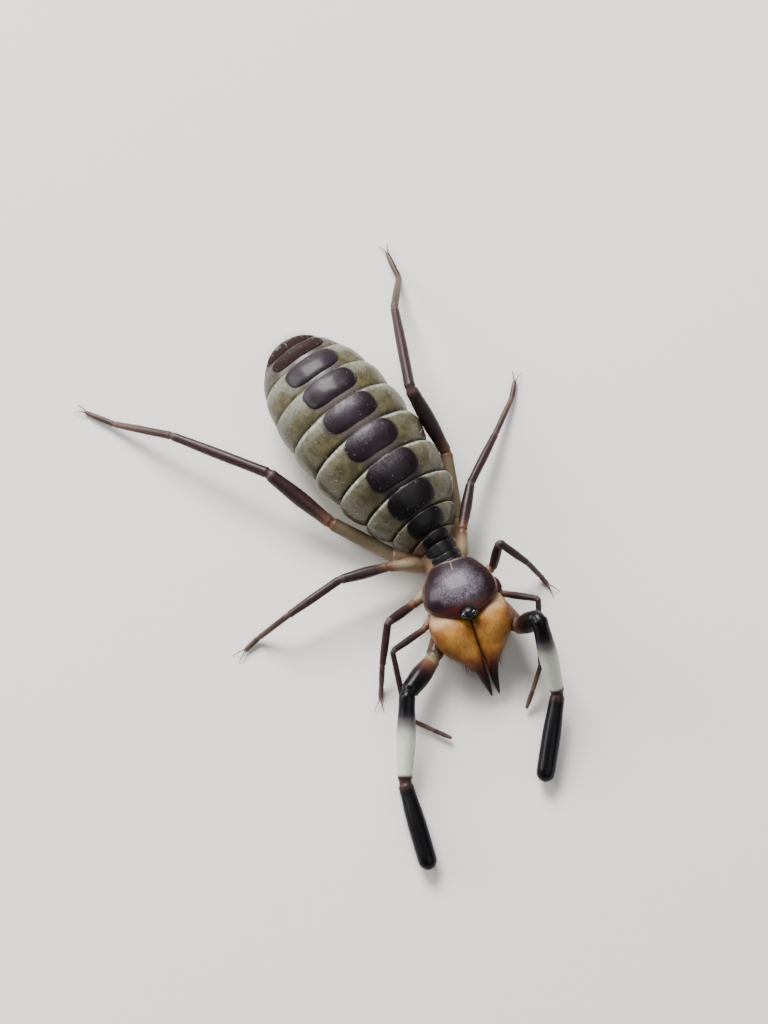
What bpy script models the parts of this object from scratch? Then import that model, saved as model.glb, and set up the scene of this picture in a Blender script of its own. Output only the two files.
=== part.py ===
"""A camel spider (solifuge) at life size, at rest on a level floor with its head lowered.

The head points toward -Y and +Z is up, so the animal's own left side is at +X. Every size
below is in millimetres, and each finished mesh is scaled to metres. The origin is under the
middle of the animal, on the floor that its belly and feet rest on.
"""

import math
from dataclasses import dataclass

import bmesh
import bpy
from mathutils import Matrix, Vector

MM = 0.001

# Clearances between neighbouring pieces
BODY_GAP = 0.3
LIMB_GAP = 0.2
EYE_GAP = 0.06

# Abdomen, measured back from the waist along its own axis
WAIST = Vector((-0.2, -0.25, 0.0))
ABDOMEN_YAW = math.radians(6.2)
SEGMENT_LENGTHS = (0.75, 1.25, 1.74, 2.06, 2.26, 2.22, 2.1, 1.84, 1.28, 1.3)
ABDOMEN_HALF_WIDTH = 3.8
ABDOMEN_FLATTENING = 0.88
ABDOMEN_AXIS_HEIGHT = 3.0
FRONT_AXIS_DROP = 0.8
REAR_AXIS_DROP = 0.3
FRONT_NARROWING = 0.7
FRONT_FULLNESS = 2.2
REAR_FULLNESS = 2.9
REAR_ROUNDNESS = 0.555
GROOVE = 0.045
PLATE_SIDE_GROOVE = 0.3
TERGITE_LIFT = 0.16
TERGITE_HALF_WIDTHS = (0.85, 1.2, 1.5, 1.66, 1.68, 1.7, 1.72, 1.74, 1.76, 1.85)
TERGITE_FRONTS = (0.07, 0.09, 0.09, 0.12, 0.15, 0.15, 0.14, 0.12, 0.17, 0.08)
TERGITE_REAR_MARGIN = 0.09
LAST_TERGITE_REACH = 0.7
WIDEST_PLATE_SHARE = 0.8
ABDOMEN_TIP = 0.12
PLAIN_RINGS = 17
WALL_RUN = 0.06
PLATE_POINTS = 7
STEEPEST_PLATE = 0.94
FIRST_RING = 0.001
FIRST_PLAIN_RING = 0.01

# Thorax, the two short plates between head and abdomen
THORAX_FRONT = -3.0
THORAX_REAR = 1.0
THORAX_TOP = 3.55
THORAX_BELLY = 0.55
THORAX_MIDDLE = 1.7
THORAX_HALF_WIDTH = 1.3
THORAX_PLATES = ((-1.95, -1.7, 0.85), (-1.5, -0.55, 0.92))

# Head, in its own frame: back edge of the shield at y = 0, front margin at -HEAD_LENGTH
HEAD_REAR = Vector((-0.03, -1.56, 0.0))
HEAD_PIVOT_HEIGHT = 2.2
HEAD_YAW = math.radians(-14)
HEAD_ROLL = math.radians(5)
HEAD_LENGTH = 4.0
HEAD_HALF_WIDTH = 2.3
HEAD_REAR_DROP = 1.16
HEAD_REAR_FULLNESS = 1.8
HEAD_FRONT_DROP = 1.7
HEAD_FRONT_FULLNESS = 2.4
HEAD_WIDEST = 0.57
HEAD_HIGHEST = 0.65
SHIELD_EDGE_HEIGHT = 3.0
SHIELD_REAR_TOP = 3.45
SHIELD_TOP = 4.35
SHIELD_FRONT_TOP = 3.9
HEAD_BELLY = 0.75
REAR_BELLY_RISE = 0.5
FRONT_BELLY_RISE = 0.35
COXA_HALF_WIDTH = 1.7
LOBE = 0.36
LOBE_START = 0.15
LOBE_FALL = 1.6
COXA_FALL = 1.3
HEAD_SHARES = (0.0, 0.06, 0.14, 0.25, 0.38, 0.5, 0.62, 0.74, 0.86, 0.95, 1.0)
UNDERCUT_DEPTH = 1.6
FRONT_UNDERCUT = 0.75
TUBERCLE = Vector((0.05, -3.84, 3.86))
TUBERCLE_SIZE = Vector((0.5, 0.44, 0.42))
EYE_RADIUS = 0.21
EYE_SPREAD = 0.33
EYE_FORWARD = 0.1
EYE_RISE = 0.2

# Chelicerae, the pair of pincers, each in its own frame with its base at the origin
CHELICERA_ROOT = Vector((1.3, -3.65, 2.85))
CHELICERA_PITCH = math.radians(25)
CHELICERA_TOE_IN = math.radians(12)
CHELICERA_SWING = math.radians(3)
HAND_STATIONS = (
    (-0.9, 0.75, 0.55, -0.68, 0.0),
    (-0.4, 1.05, 0.88, -0.38, 0.0),
    (0.1, 1.28, 1.1, -0.15, 0.0),
    (0.7, 1.33, 1.18, -0.03, 0.0),
    (1.4, 1.24, 1.12, 0.03, 0.02),
    (2.1, 0.95, 0.93, 0.1, 0.06),
    (2.8, 0.6, 0.68, 0.24, 0.15),
    (3.4, 0.4, 0.45, 0.3, 0.2),
    (4.2, 0.28, 0.3, 0.25, 0.16),
    (4.8, 0.22, 0.23, 0.1, 0.1),
    (5.15, 0.14, 0.15, -0.06, 0.06),
)
FIXED_TIP = (5.4, -0.22, 0.04)
MOVABLE_STATIONS = (
    (2.2, 0.3, 0.3, -0.72, 0.05),
    (2.8, 0.34, 0.33, -0.82, 0.12),
    (3.5, 0.31, 0.31, -0.84, 0.17),
    (4.2, 0.26, 0.26, -0.76, 0.15),
    (4.75, 0.2, 0.19, -0.6, 0.1),
)
MOVABLE_TIP = (5.1, -0.46, 0.06)
TOOTH_HEIGHT = 0.18
TOOTH_RADIUS = 0.13
TOOTH_SINK = 0.12
SECOND_TOOTH = 0.7
FIXED_TEETH = (3.3, 3.75, 4.2, 4.6)
MOVABLE_TEETH = (3.5, 4.0)

# Feet
FOOT_HEIGHT = 0.21
CLAW_LENGTH = 1.05
CLAW_RADIUS = 0.13
CLAW_SPREAD = math.radians(20)
CLAW_SINK = 0.3
CLAW_RISE = 0.16
CLAW_TAPER = 0.65
CLAW_STEPS = 5
CLAW_TIP_HEIGHT = 0.06
CLAW_ROOT_ASIDE = 0.06
CLAW_ROOT_DROP = 0.02
CLAW_POINT_ASIDE = 0.04
CLAW_SIDES = 6

LIMB_SIDES = 10
BODY_SIDES = 24
MITRE_REACH = 1.1
ROOT_SINK = 1.2
NECK = 0.92
NECK_SHARE = 0.12
LEAST_TIP_HEIGHT = 0.05
TIP_TURNS = (math.radians(35), math.radians(65))
SHARP_ANGLE = math.radians(40)


@dataclass(frozen=True)
class Finish:
    """The plain colour, roughness and metallic value of one material."""

    colour: tuple
    roughness: float
    metallic: float = 0.0


FINISHES = {
    "pleura": Finish((0.17, 0.145, 0.08), 0.45),
    "shield": Finish((0.05, 0.022, 0.022), 0.3),
    "waist": Finish((0.06, 0.035, 0.03), 0.4),
    "eye": Finish((0.008, 0.008, 0.01), 0.06),
    "chelicera": Finish((0.33, 0.125, 0.025), 0.42),
    "fang": Finish((0.05, 0.015, 0.01), 0.25),
    "pale_limb": Finish((0.3, 0.2, 0.11), 0.45),
    "brown_limb": Finish((0.055, 0.028, 0.024), 0.42),
    "tibia": Finish((0.1, 0.06, 0.045), 0.45),
    "foot": Finish((0.13, 0.085, 0.06), 0.5),
    "black_limb": Finish((0.012, 0.01, 0.014), 0.55),
    "white_limb": Finish((0.55, 0.5, 0.45), 0.4),
}


@dataclass(frozen=True)
class Part:
    """One named length of a limb: half widths at its start, middle and end, and its finish."""

    name: str
    length: float
    start: float
    middle: float
    end: float
    finish: str


@dataclass(frozen=True)
class Stance:
    """How one limb is held: its root, then the heading and pitch of each length in degrees.

    A heading of 0 points forward, to -Y, and 90 points to the animal's left, to +X.
    """

    root: tuple
    headings: tuple
    pitches: tuple
    stretch: float = 1.0


LEG_PARTS = {
    "palp": (
        Part("femur", 2.3, 0.5, 0.56, 0.58, "brown_limb"),
        Part("patella", 3.1, 0.56, 0.68, 0.6, "black_limb"),
        Part("tibia", 5.4, 0.52, 0.62, 0.45, "white_limb"),
        Part("tarsus", 5.5, 0.44, 0.58, 0.56, "black_limb"),
    ),
    "leg1": (
        Part("femur", 1.3, 0.26, 0.28, 0.27, "pale_limb"),
        Part("patella", 2.7, 0.25, 0.28, 0.26, "brown_limb"),
        Part("tibia", 4.35, 0.25, 0.26, 0.25, "tibia"),
        Part("metatarsus", 1.75, 0.25, 0.25, 0.25, "foot"),
        Part("tarsus", 1.3, 0.25, 0.25, 0.22, "foot"),
    ),
    "leg2": (
        Part("femur", 1.3, 0.32, 0.34, 0.33, "pale_limb"),
        Part("patella", 2.2, 0.3, 0.36, 0.32, "brown_limb"),
        Part("tibia", 2.8, 0.28, 0.3, 0.26, "tibia"),
        Part("metatarsus", 1.5, 0.25, 0.26, 0.25, "foot"),
        Part("tarsus", 0.85, 0.25, 0.26, 0.25, "foot"),
    ),
    "leg3": (
        Part("femur", 1.5, 0.35, 0.38, 0.38, "pale_limb"),
        Part("patella", 3.3, 0.36, 0.42, 0.38, "brown_limb"),
        Part("tibia", 4.1, 0.32, 0.32, 0.28, "tibia"),
        Part("metatarsus", 2.9, 0.27, 0.26, 0.25, "foot"),
        Part("tarsus", 1.25, 0.25, 0.26, 0.25, "foot"),
    ),
    "leg4": (
        Part("femur", 4.9, 0.42, 0.46, 0.44, "pale_limb"),
        Part("patella", 5.0, 0.42, 0.52, 0.44, "brown_limb"),
        Part("tibia", 6.9, 0.38, 0.37, 0.33, "tibia"),
        Part("metatarsus", 4.3, 0.3, 0.28, 0.26, "foot"),
        Part("tarsus", 2.1, 0.25, 0.26, 0.25, "foot"),
    ),
}

STANCES = {
    ("palp", "left"): Stance((1.35, -5.1, 1.25), (3, 41, -10.5, -39.5), (27.5, 68.5, -44.5, -6.5)),
    ("palp", "right"): Stance((-2.4, -4.5, 1.15), (-45.5, -63, -31.5, -14), (10, 16, -14.5, -2.5)),
    ("leg1", "left"): Stance(
        (1.05, -3.75, 2.2), (36.5, 41, -27.5, -48.5, -51), (-8.5, 28.5, -23, -25.5, -25), 0.94,
    ),
    ("leg1", "right"): Stance((-2.45, -3.65, 1.9), (-62, -79.5, -16, 34.5, 35.5), (1, 17.5, -32.5, 0, 0.5)),
    ("leg2", "left"): Stance((0.9, -2.95, 1.65), (96, 129.5, 40.5, 31.5, 12.5), (-2, 63, -45.5, -51.5, 0)),
    ("leg2", "right"): Stance((-2.3, -2.25, 1.75), (-75, -77, -38, -33.5, -34.5), (11.5, 24, -31, -50, 0)),
    ("leg3", "left"): Stance(
        (0.9, -1.3, 2.2), (151.5, 140, 126, 128, 139.5), (3.5, -6.5, -13, -12.5, 0), 1.02,
    ),
    ("leg3", "right"): Stance(
        (-2.3, -0.3, 2.25), (-114, -102, -85.5, -95.5, -77.5), (2.5, 6, -6.5, -42.5, 0), 0.95,
    ),
    ("leg4", "left"): Stance((1.75, 0.7, 1.05), (159, -172.5, 158.5, 144.5, 172), (12.5, 42, -19, -39.5, 0)),
    ("leg4", "right"): Stance(
        (-2.45, 0.7, 1.05), (-146.5, -156.5, -145, -140, -146), (8.5, 13, -8, -20.5, 0),
    ),
}


def clear_scene():
    """Removes every object of the scene."""
    for obj in list(bpy.data.objects):
        bpy.data.objects.remove(obj, do_unlink=True)


def make_materials():
    """Makes one Principled material for each finish."""
    materials = {}
    for name, finish in FINISHES.items():
        made = bpy.data.materials.new(name)
        made.use_nodes = True
        shader = made.node_tree.nodes["Principled BSDF"]
        shader.inputs["Base Color"].default_value = (*finish.colour, 1.0)
        shader.inputs["Roughness"].default_value = finish.roughness
        shader.inputs["Metallic"].default_value = finish.metallic
        materials[name] = made
    return materials


def smooth_step(value):
    """Eases a value from 0 to 1, and holds it outside that range."""
    value = min(max(value, 0.0), 1.0)
    return value * value * (3.0 - 2.0 * value)


def loft(name, rings, start=None, end=None):
    """Joins closed rings into one closed mesh, with each end drawn to a point or to its middle."""
    shape = bmesh.new()
    rows = [[shape.verts.new(point) for point in ring] for ring in rings]
    count = len(rows[0])
    for row, following in zip(rows, rows[1:]):
        for index in range(count):
            after = (index + 1) % count
            shape.faces.new((row[index], row[after], following[after], following[index]))
    middle_start = start or sum(rings[0], Vector()) / count
    middle_end = end or sum(rings[-1], Vector()) / count
    first = shape.verts.new(middle_start)
    last = shape.verts.new(middle_end)
    for index in range(count):
        after = (index + 1) % count
        shape.faces.new((rows[0][after], rows[0][index], first))
        shape.faces.new((rows[-1][index], rows[-1][after], last))
    bmesh.ops.recalc_face_normals(shape, faces=shape.faces)
    bmesh.ops.triangulate(shape, faces=shape.faces)
    mesh = bpy.data.meshes.new(name)
    shape.to_mesh(mesh)
    shape.free()
    obj = bpy.data.objects.new(name, mesh)
    bpy.context.collection.objects.link(obj)
    return obj


def ellipsoid(name, centre, size, segments, rows):
    """Makes a closed ellipsoid with its poles above and below its centre."""
    rings = []
    for row in range(1, rows):
        polar = math.pi * row / rows
        ring = []
        for index in range(segments):
            turn = math.tau * index / segments
            across = math.sin(polar)
            ring.append(centre + Vector((
                size.x * across * math.cos(turn),
                size.y * across * math.sin(turn),
                size.z * math.cos(polar),
            )))
        rings.append(ring)
    top = centre + Vector((0.0, 0.0, size.z))
    bottom = centre - Vector((0.0, 0.0, size.z))
    return loft(name, rings, top, bottom)


def surface_groups(shape):
    """Sorts a mesh's faces into the separate surfaces that they form."""
    waiting = set(shape.faces)
    groups = []
    while waiting:
        group = {waiting.pop()}
        reached = list(group)
        while reached:
            for edge in reached.pop().edges:
                for other in edge.link_faces:
                    if other in waiting:
                        waiting.remove(other)
                        group.add(other)
                        reached.append(other)
        groups.append(group)
    return groups


def space_inside(group):
    """Gives six times the space inside a closed surface of triangles."""
    corners = [[vert.co for vert in face.verts] for face in group]
    return abs(sum(a.dot(b.cross(c)) for a, b, c in corners))


def keep_largest(obj):
    """Cuts an object into triangles and keeps only its closed surface that holds the most space."""
    shape = bmesh.new()
    shape.from_mesh(obj.data)
    bmesh.ops.triangulate(shape, faces=shape.faces)
    groups = surface_groups(shape)
    largest = max(groups, key=space_inside)
    loose = [face for face in shape.faces if face not in largest]
    bmesh.ops.delete(shape, geom=loose, context="FACES")
    shape.to_mesh(obj.data)
    shape.free()


def apply_boolean(obj, others, operation):
    """Joins or cuts an object with a collection of closed objects, then removes the collection."""
    group = bpy.data.collections.new("boolean")
    bpy.context.scene.collection.children.link(group)
    for other in others:
        bpy.context.collection.objects.unlink(other)
        group.objects.link(other)
        other.hide_render = True
        other.display_type = "WIRE"
    modifier = obj.modifiers.new("boolean", "BOOLEAN")
    modifier.operation = operation
    modifier.operand_type = "COLLECTION"
    modifier.collection = group
    modifier.solver = "EXACT"
    graph = bpy.context.evaluated_depsgraph_get()
    result = bpy.data.meshes.new_from_object(obj.evaluated_get(graph))
    obj.modifiers.clear()
    obj.data = result
    for other in others:
        bpy.data.objects.remove(other, do_unlink=True)
    bpy.data.collections.remove(group)
    keep_largest(obj)


def swollen(name, obj, gap):
    """Copies a plain shape and moves its surface out by the gap, as a cutter for its neighbours."""
    cutter = bpy.data.objects.new(name, obj.data.copy())
    bpy.context.collection.objects.link(cutter)
    cutter.hide_render = True
    cutter.display_type = "WIRE"
    shape = bmesh.new()
    shape.from_mesh(cutter.data)
    shape.normal_update()
    moves = {vert: vert.normal.copy() for vert in shape.verts}
    for vert, normal in moves.items():
        vert.co += normal * gap
    shape.to_mesh(cutter.data)
    shape.free()
    return cutter


def corners_of(obj):
    """Gives the lowest and highest corners of an object's mesh."""
    points = [vert.co for vert in obj.data.vertices]
    low = [min(point[axis] for point in points) for axis in range(3)]
    high = [max(point[axis] for point in points) for axis in range(3)]
    return low, high


def apart(obj, other):
    """Tells whether two objects' boxes lie clear of each other."""
    low, high = corners_of(obj)
    other_low, other_high = corners_of(other)
    return any(low[axis] > other_high[axis] or high[axis] < other_low[axis] for axis in range(3))


def cut_clear(obj, cutters):
    """Cuts an object clear of its neighbours with their swollen copies, which stay as they are."""
    for cutter in cutters:
        if apart(obj, cutter):
            continue
        blade = bpy.data.objects.new("blade", cutter.data.copy())
        bpy.context.collection.objects.link(blade)
        apply_boolean(obj, [blade], "DIFFERENCE")


def ring_angles(plate_angle, wall_angle, sides):
    """Spaces a ring's points from the top: over the plate, down its walls, then round below."""
    over = PLATE_POINTS
    below = sides - over - 2
    angles = [plate_angle * (2.0 * index / (over - 1) - 1.0) for index in range(over)]
    angles.append(plate_angle + wall_angle)
    rest = math.tau - 2.0 * (plate_angle + wall_angle)
    for index in range(1, below + 1):
        angles.append(plate_angle + wall_angle + rest * index / (below + 1))
    angles.append(-plate_angle - wall_angle)
    return angles


def body_ring(along, half_width, top, middle, bottom, plate_half, lift):
    """Makes one cross-section of the body, with its plate raised by the lift."""
    plate_angle = math.asin(min(plate_half / half_width, STEEPEST_PLATE))
    wall_angle = WALL_RUN / half_width
    ring = []
    for angle in ring_angles(plate_angle, wall_angle, BODY_SIDES):
        raised = lift if abs(angle) <= plate_angle + 1e-6 else 0.0
        height = (top - middle) if math.cos(angle) > 0 else (middle - bottom)
        across = (half_width + raised) * math.sin(angle)
        up = middle + (height + raised) * math.cos(angle)
        ring.append(Vector((across, along, max(up, 0.0))))
    return ring


def abdomen_size(along):
    """Gives the abdomen's half width and the height of its axis at a distance from the waist."""
    share = along / sum(SEGMENT_LENGTHS)
    if share < 0.5:
        narrowing = FRONT_NARROWING * ((0.5 - share) / 0.5) ** FRONT_FULLNESS
        half_width = ABDOMEN_HALF_WIDTH * (1.0 - narrowing)
    else:
        fullness = 1.0 - ((share - 0.5) / 0.5) ** REAR_FULLNESS
        half_width = ABDOMEN_HALF_WIDTH * max(fullness, 0.0) ** REAR_ROUNDNESS
    height = ABDOMEN_AXIS_HEIGHT - FRONT_AXIS_DROP * (1.0 - smooth_step(share / 0.4))
    height -= REAR_AXIS_DROP * smooth_step((share - 0.5) / 0.5)
    return half_width, height


def abdomen_ring(along, pinch, plate_half, lift):
    """Makes one cross-section of the abdomen, pinched in where two segments meet."""
    half_width, height = abdomen_size(along)
    half_width *= 1.0 - pinch
    half_height = half_width * ABDOMEN_FLATTENING
    return body_ring(along, half_width, height + half_height, height, height - half_height,
                     min(plate_half, half_width * WIDEST_PLATE_SHARE), lift)


def abdomen_frame():
    """Gives the placement of the abdomen: from the waist back, turned a little to its right."""
    return Matrix.Translation(WAIST) @ Matrix.Rotation(ABDOMEN_YAW, 4, "Z")


def make_abdomen(cutters):
    """Lofts the abdomen segment by segment, each with one raised plate on its back."""
    rings = []
    along = 0.0
    near_plate = GROOVE * PLATE_SIDE_GROOVE
    last = len(SEGMENT_LENGTHS) - 1
    for index, length in enumerate(SEGMENT_LENGTHS):
        plate = TERGITE_HALF_WIDTHS[index]
        front = along + length * TERGITE_FRONTS[index]
        back = along + (length * LAST_TERGITE_REACH if index == last else length - TERGITE_REAR_MARGIN)
        middle = (front + back) / 2
        rings.append(abdomen_ring(along + FIRST_RING, GROOVE, plate, 0.0))
        rings.append(abdomen_ring(front - WALL_RUN / 2, near_plate, plate, 0.0))
        rings.append(abdomen_ring(front + WALL_RUN / 2, near_plate, plate, TERGITE_LIFT))
        rings.append(abdomen_ring(middle, 0.0, plate, TERGITE_LIFT))
        rings.append(abdomen_ring(back - WALL_RUN / 2, near_plate, plate, TERGITE_LIFT))
        rings.append(abdomen_ring(back + WALL_RUN / 2, near_plate, plate, 0.0))
        along += length
    rings.append(abdomen_ring(along - ABDOMEN_TIP, 0.0, TERGITE_HALF_WIDTHS[last], 0.0))
    step = (along - ABDOMEN_TIP) / (PLAIN_RINGS - 1)
    plain_rings = [
        abdomen_ring(step * index + FIRST_PLAIN_RING, 0.0, TERGITE_HALF_WIDTHS[last], 0.0) for index in range(PLAIN_RINGS)
    ]
    plain = loft("plain", plain_rings)
    plain.data.transform(abdomen_frame())
    cutters.append(swollen("abdomen_cutter", plain, BODY_GAP + TERGITE_LIFT / 2))
    bpy.data.objects.remove(plain, do_unlink=True)
    abdomen = loft("abdomen", rings)
    abdomen.data.transform(abdomen_frame())
    return abdomen


def thorax_ring(along, plate_half, lift):
    """Makes one cross-section of the thorax, which is broadest low down at the hips."""
    return body_ring(along, THORAX_HALF_WIDTH, THORAX_TOP, THORAX_MIDDLE, THORAX_BELLY, plate_half, lift)


def make_thorax(cutters):
    """Lofts the thorax with its two plates and cuts it clear of the head and the abdomen."""
    rings = [thorax_ring(THORAX_FRONT, THORAX_PLATES[0][2], 0.0)]
    for front, back, half_width in THORAX_PLATES:
        rings.append(thorax_ring(front - WALL_RUN / 2, half_width, 0.0))
        rings.append(thorax_ring(front + WALL_RUN / 2, half_width, TERGITE_LIFT))
        rings.append(thorax_ring(back - WALL_RUN / 2, half_width, TERGITE_LIFT))
        rings.append(thorax_ring(back + WALL_RUN / 2, half_width, 0.0))
    rings.append(thorax_ring(THORAX_REAR, THORAX_PLATES[-1][2], 0.0))
    thorax = loft("thorax", rings)
    middle = (THORAX_FRONT + THORAX_REAR) / 2
    plain_rings = [
        thorax_ring(along, THORAX_PLATES[0][2], 0.0) for along in (THORAX_FRONT, middle, THORAX_REAR)
    ]
    plain = loft("plain", plain_rings)
    for obj in (thorax, plain):
        obj.data.transform(Matrix.Translation((WAIST.x, 0.0, 0.0)))
    cut_clear(thorax, cutters)
    cutters.append(swollen("thorax_cutter", plain, BODY_GAP))
    bpy.data.objects.remove(plain, do_unlink=True)
    return thorax


def head_frame():
    """Gives the placement of the head: turned to its right and rolled with its left side up."""
    pivot = Matrix.Translation((0.0, 0.0, HEAD_PIVOT_HEIGHT))
    turn = Matrix.Rotation(HEAD_YAW, 4, "Z") @ Matrix.Rotation(-HEAD_ROLL, 4, "Y")
    return Matrix.Translation(HEAD_REAR) @ pivot @ turn @ pivot.inverted()


def head_half_width(share):
    """Gives half the shield's width, from its rear edge at 0 to its front margin at 1."""
    if share < HEAD_WIDEST:
        return HEAD_HALF_WIDTH - HEAD_REAR_DROP * (1.0 - share / HEAD_WIDEST) ** HEAD_REAR_FULLNESS
    rest = ((share - HEAD_WIDEST) / (1.0 - HEAD_WIDEST)) ** HEAD_FRONT_FULLNESS
    return HEAD_HALF_WIDTH - HEAD_FRONT_DROP * rest


def head_top(share):
    """Gives the height of the shield's crest, which is highest two thirds of the way forward."""
    if share < HEAD_HIGHEST:
        rise = math.sin(share / HEAD_HIGHEST * math.pi / 2)
        return SHIELD_REAR_TOP + (SHIELD_TOP - SHIELD_REAR_TOP) * rise
    fall = ((share - HEAD_HIGHEST) / (1.0 - HEAD_HIGHEST)) ** 2
    return SHIELD_TOP + (SHIELD_FRONT_TOP - SHIELD_TOP) * fall


def head_ring(share):
    """Makes one cross-section of the head: domed shield, a lobe below its edge, hips below."""
    half_width = head_half_width(share)
    top = head_top(share)
    lobe = LOBE * math.sin(math.pi * min(max((share - LOBE_START) / (1.0 - LOBE_START), 0.0), 1.0))
    belly = HEAD_BELLY + REAR_BELLY_RISE * (1.0 - smooth_step(share * 6))
    belly += FRONT_BELLY_RISE * smooth_step(share * 4 - 3)
    ring = []
    for index in range(BODY_SIDES):
        angle = math.tau * index / BODY_SIDES
        up, across = math.cos(angle), math.sin(angle)
        if up >= 0:
            point = Vector((half_width * across, 0.0, SHIELD_EDGE_HEIGHT + (top - SHIELD_EDGE_HEIGHT) * up))
        else:
            width = half_width + (min(COXA_HALF_WIDTH, half_width) - half_width) * smooth_step(-up * COXA_FALL)
            width += lobe * math.sin(math.pi * min(-up * LOBE_FALL, 1.0))
            point = Vector((width * across, 0.0, SHIELD_EDGE_HEIGHT + (SHIELD_EDGE_HEIGHT - belly) * up))
        depth = smooth_step((SHIELD_EDGE_HEIGHT - point.z) / UNDERCUT_DEPTH)
        point.y = FRONT_UNDERCUT * smooth_step(share * 2 - 1) * depth - HEAD_LENGTH * share
        ring.append(point)
    return ring


def eye_centre(side):
    """Gives an eye's centre in the head's frame."""
    return TUBERCLE + Vector((side * EYE_SPREAD, -EYE_FORWARD, EYE_RISE))


def make_head(eyes, cutters):
    """Lofts the head, raises the eye tubercle on it and sinks a socket round each eye."""
    head = loft("head", [head_ring(share) for share in HEAD_SHARES])
    cutter = swollen("head_cutter", head, BODY_GAP)
    cutter.data.transform(head_frame())
    cutters.append(cutter)
    tubercle = ellipsoid("tubercle", TUBERCLE, TUBERCLE_SIZE, 16, 9)
    apply_boolean(head, [tubercle], "UNION")
    for side in (1, -1):
        size = Vector((1, 1, 1)) * (EYE_RADIUS + EYE_GAP)
        apply_boolean(head, [ellipsoid("socket", eye_centre(side), size, 12, 8)], "DIFFERENCE")
    head.data.transform(head_frame())
    for name, side in (("eye_left", 1), ("eye_right", -1)):
        eye = ellipsoid(name, eye_centre(side), Vector((1, 1, 1)) * EYE_RADIUS, 12, 8)
        eye.data.transform(head_frame())
        eyes.append(eye)
    return head


def pair_frame():
    """Gives the placement of the pair of pincers on the head."""
    middle = Vector((0.0, CHELICERA_ROOT.y, 0.0))
    return head_frame() @ Matrix.Translation(middle) @ Matrix.Rotation(CHELICERA_SWING, 4, "Z")


def place_pincer(obj, side, clearance):
    """Pitches and toes in one pincer's piece, and flattens it where it would meet its twin."""
    root = Vector((side * CHELICERA_ROOT.x, 0.0, CHELICERA_ROOT.z))
    turn = Matrix.Rotation(-side * CHELICERA_TOE_IN, 4, "Z") @ Matrix.Rotation(CHELICERA_PITCH, 4, "X")
    obj.data.transform(Matrix.Translation(root) @ turn)
    for vert in obj.data.vertices:
        vert.co.x = side * max(side * vert.co.x, clearance)
    obj.data.transform(pair_frame())


def pincer_loft(name, side, stations, tip, sides):
    """Lofts a finger or hand along -Y from its stations: reach, half sizes, height, inward shift."""
    rings = []
    for reach, half_width, half_height, height, inward in stations:
        ring = []
        for index in range(sides):
            angle = math.tau * index / sides
            across = half_width * math.sin(angle) - side * inward
            ring.append(Vector((across, -reach, height + half_height * math.cos(angle))))
        rings.append(ring)
    return loft(name, rings, None, Vector((-side * tip[2], -tip[0], tip[1])))


def station_at(stations, reach):
    """Gives a finger's sizes at a distance from its base, between its stations."""
    for before, after in zip(stations, stations[1:]):
        if before[0] <= reach <= after[0]:
            mix = (reach - before[0]) / (after[0] - before[0])
            return [low + (high - low) * mix for low, high in zip(before, after)]
    return list(stations[-1])


def teeth(side, stations, places, way):
    """Makes the row of teeth along a finger's biting edge, each with its root sunk in."""
    made = []
    for index, reach in enumerate(places):
        _, _, half_height, middle, inward = station_at(stations, reach)
        height = TOOTH_HEIGHT * (1.0 if index % 2 == 0 else SECOND_TOOTH)
        edge = middle + way * half_height
        across = -side * inward
        ring = []
        for corner in range(6):
            angle = math.tau * corner / 6
            ring.append(Vector((
                across + TOOTH_RADIUS * math.cos(angle),
                -reach + TOOTH_RADIUS * math.sin(angle),
                edge - way * TOOTH_SINK,
            )))
        made.append(loft("tooth", [ring], None, Vector((across, -reach, edge + way * height))))
    return made


def make_chelicera(side_name, side, cutters):
    """Makes one pincer in two pieces: the hand with its fixed finger, and the movable finger."""
    hand = pincer_loft(f"chelicera_{side_name}", side, HAND_STATIONS, FIXED_TIP, 16)
    finger = pincer_loft(f"movable_finger_{side_name}", side, MOVABLE_STATIONS, MOVABLE_TIP, 10)
    hand_cutter = swollen(f"hand_cutter_{side_name}", hand, LIMB_GAP)
    finger_cutter = swollen(f"finger_cutter_{side_name}", finger, LIMB_GAP)
    apply_boolean(hand, teeth(side, HAND_STATIONS, FIXED_TEETH, -1), "UNION")
    apply_boolean(finger, teeth(side, MOVABLE_STATIONS, MOVABLE_TEETH, 1), "UNION")
    for obj in (hand, finger):
        place_pincer(obj, side, LIMB_GAP / 2)
    for obj in (hand_cutter, finger_cutter):
        place_pincer(obj, side, -LIMB_GAP / 2)
    cut_clear(finger, [hand_cutter])
    cut_clear(hand, cutters)
    return hand, finger, [hand_cutter, finger_cutter]


def direction(heading, pitch):
    """Gives a unit vector from a heading and a pitch in degrees."""
    turn, rise = math.radians(heading), math.radians(pitch)
    return Vector((math.sin(turn) * math.cos(rise), -math.cos(turn) * math.cos(rise), math.sin(rise)))


def limb_points(parts, stance):
    """Follows a limb from its root to its tip. A leg's last length comes down to the floor."""
    points = [Vector(stance.root)]
    for index, part in enumerate(parts):
        pitch = stance.pitches[index]
        length = part.length * stance.stretch
        if part.name == "tarsus" and pitch == 0:
            pitch = math.degrees(math.asin((FOOT_HEIGHT - points[-1].z) / (length - part.end)))
        points.append(points[-1] + direction(stance.headings[index], pitch) * length)
    return points


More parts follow.
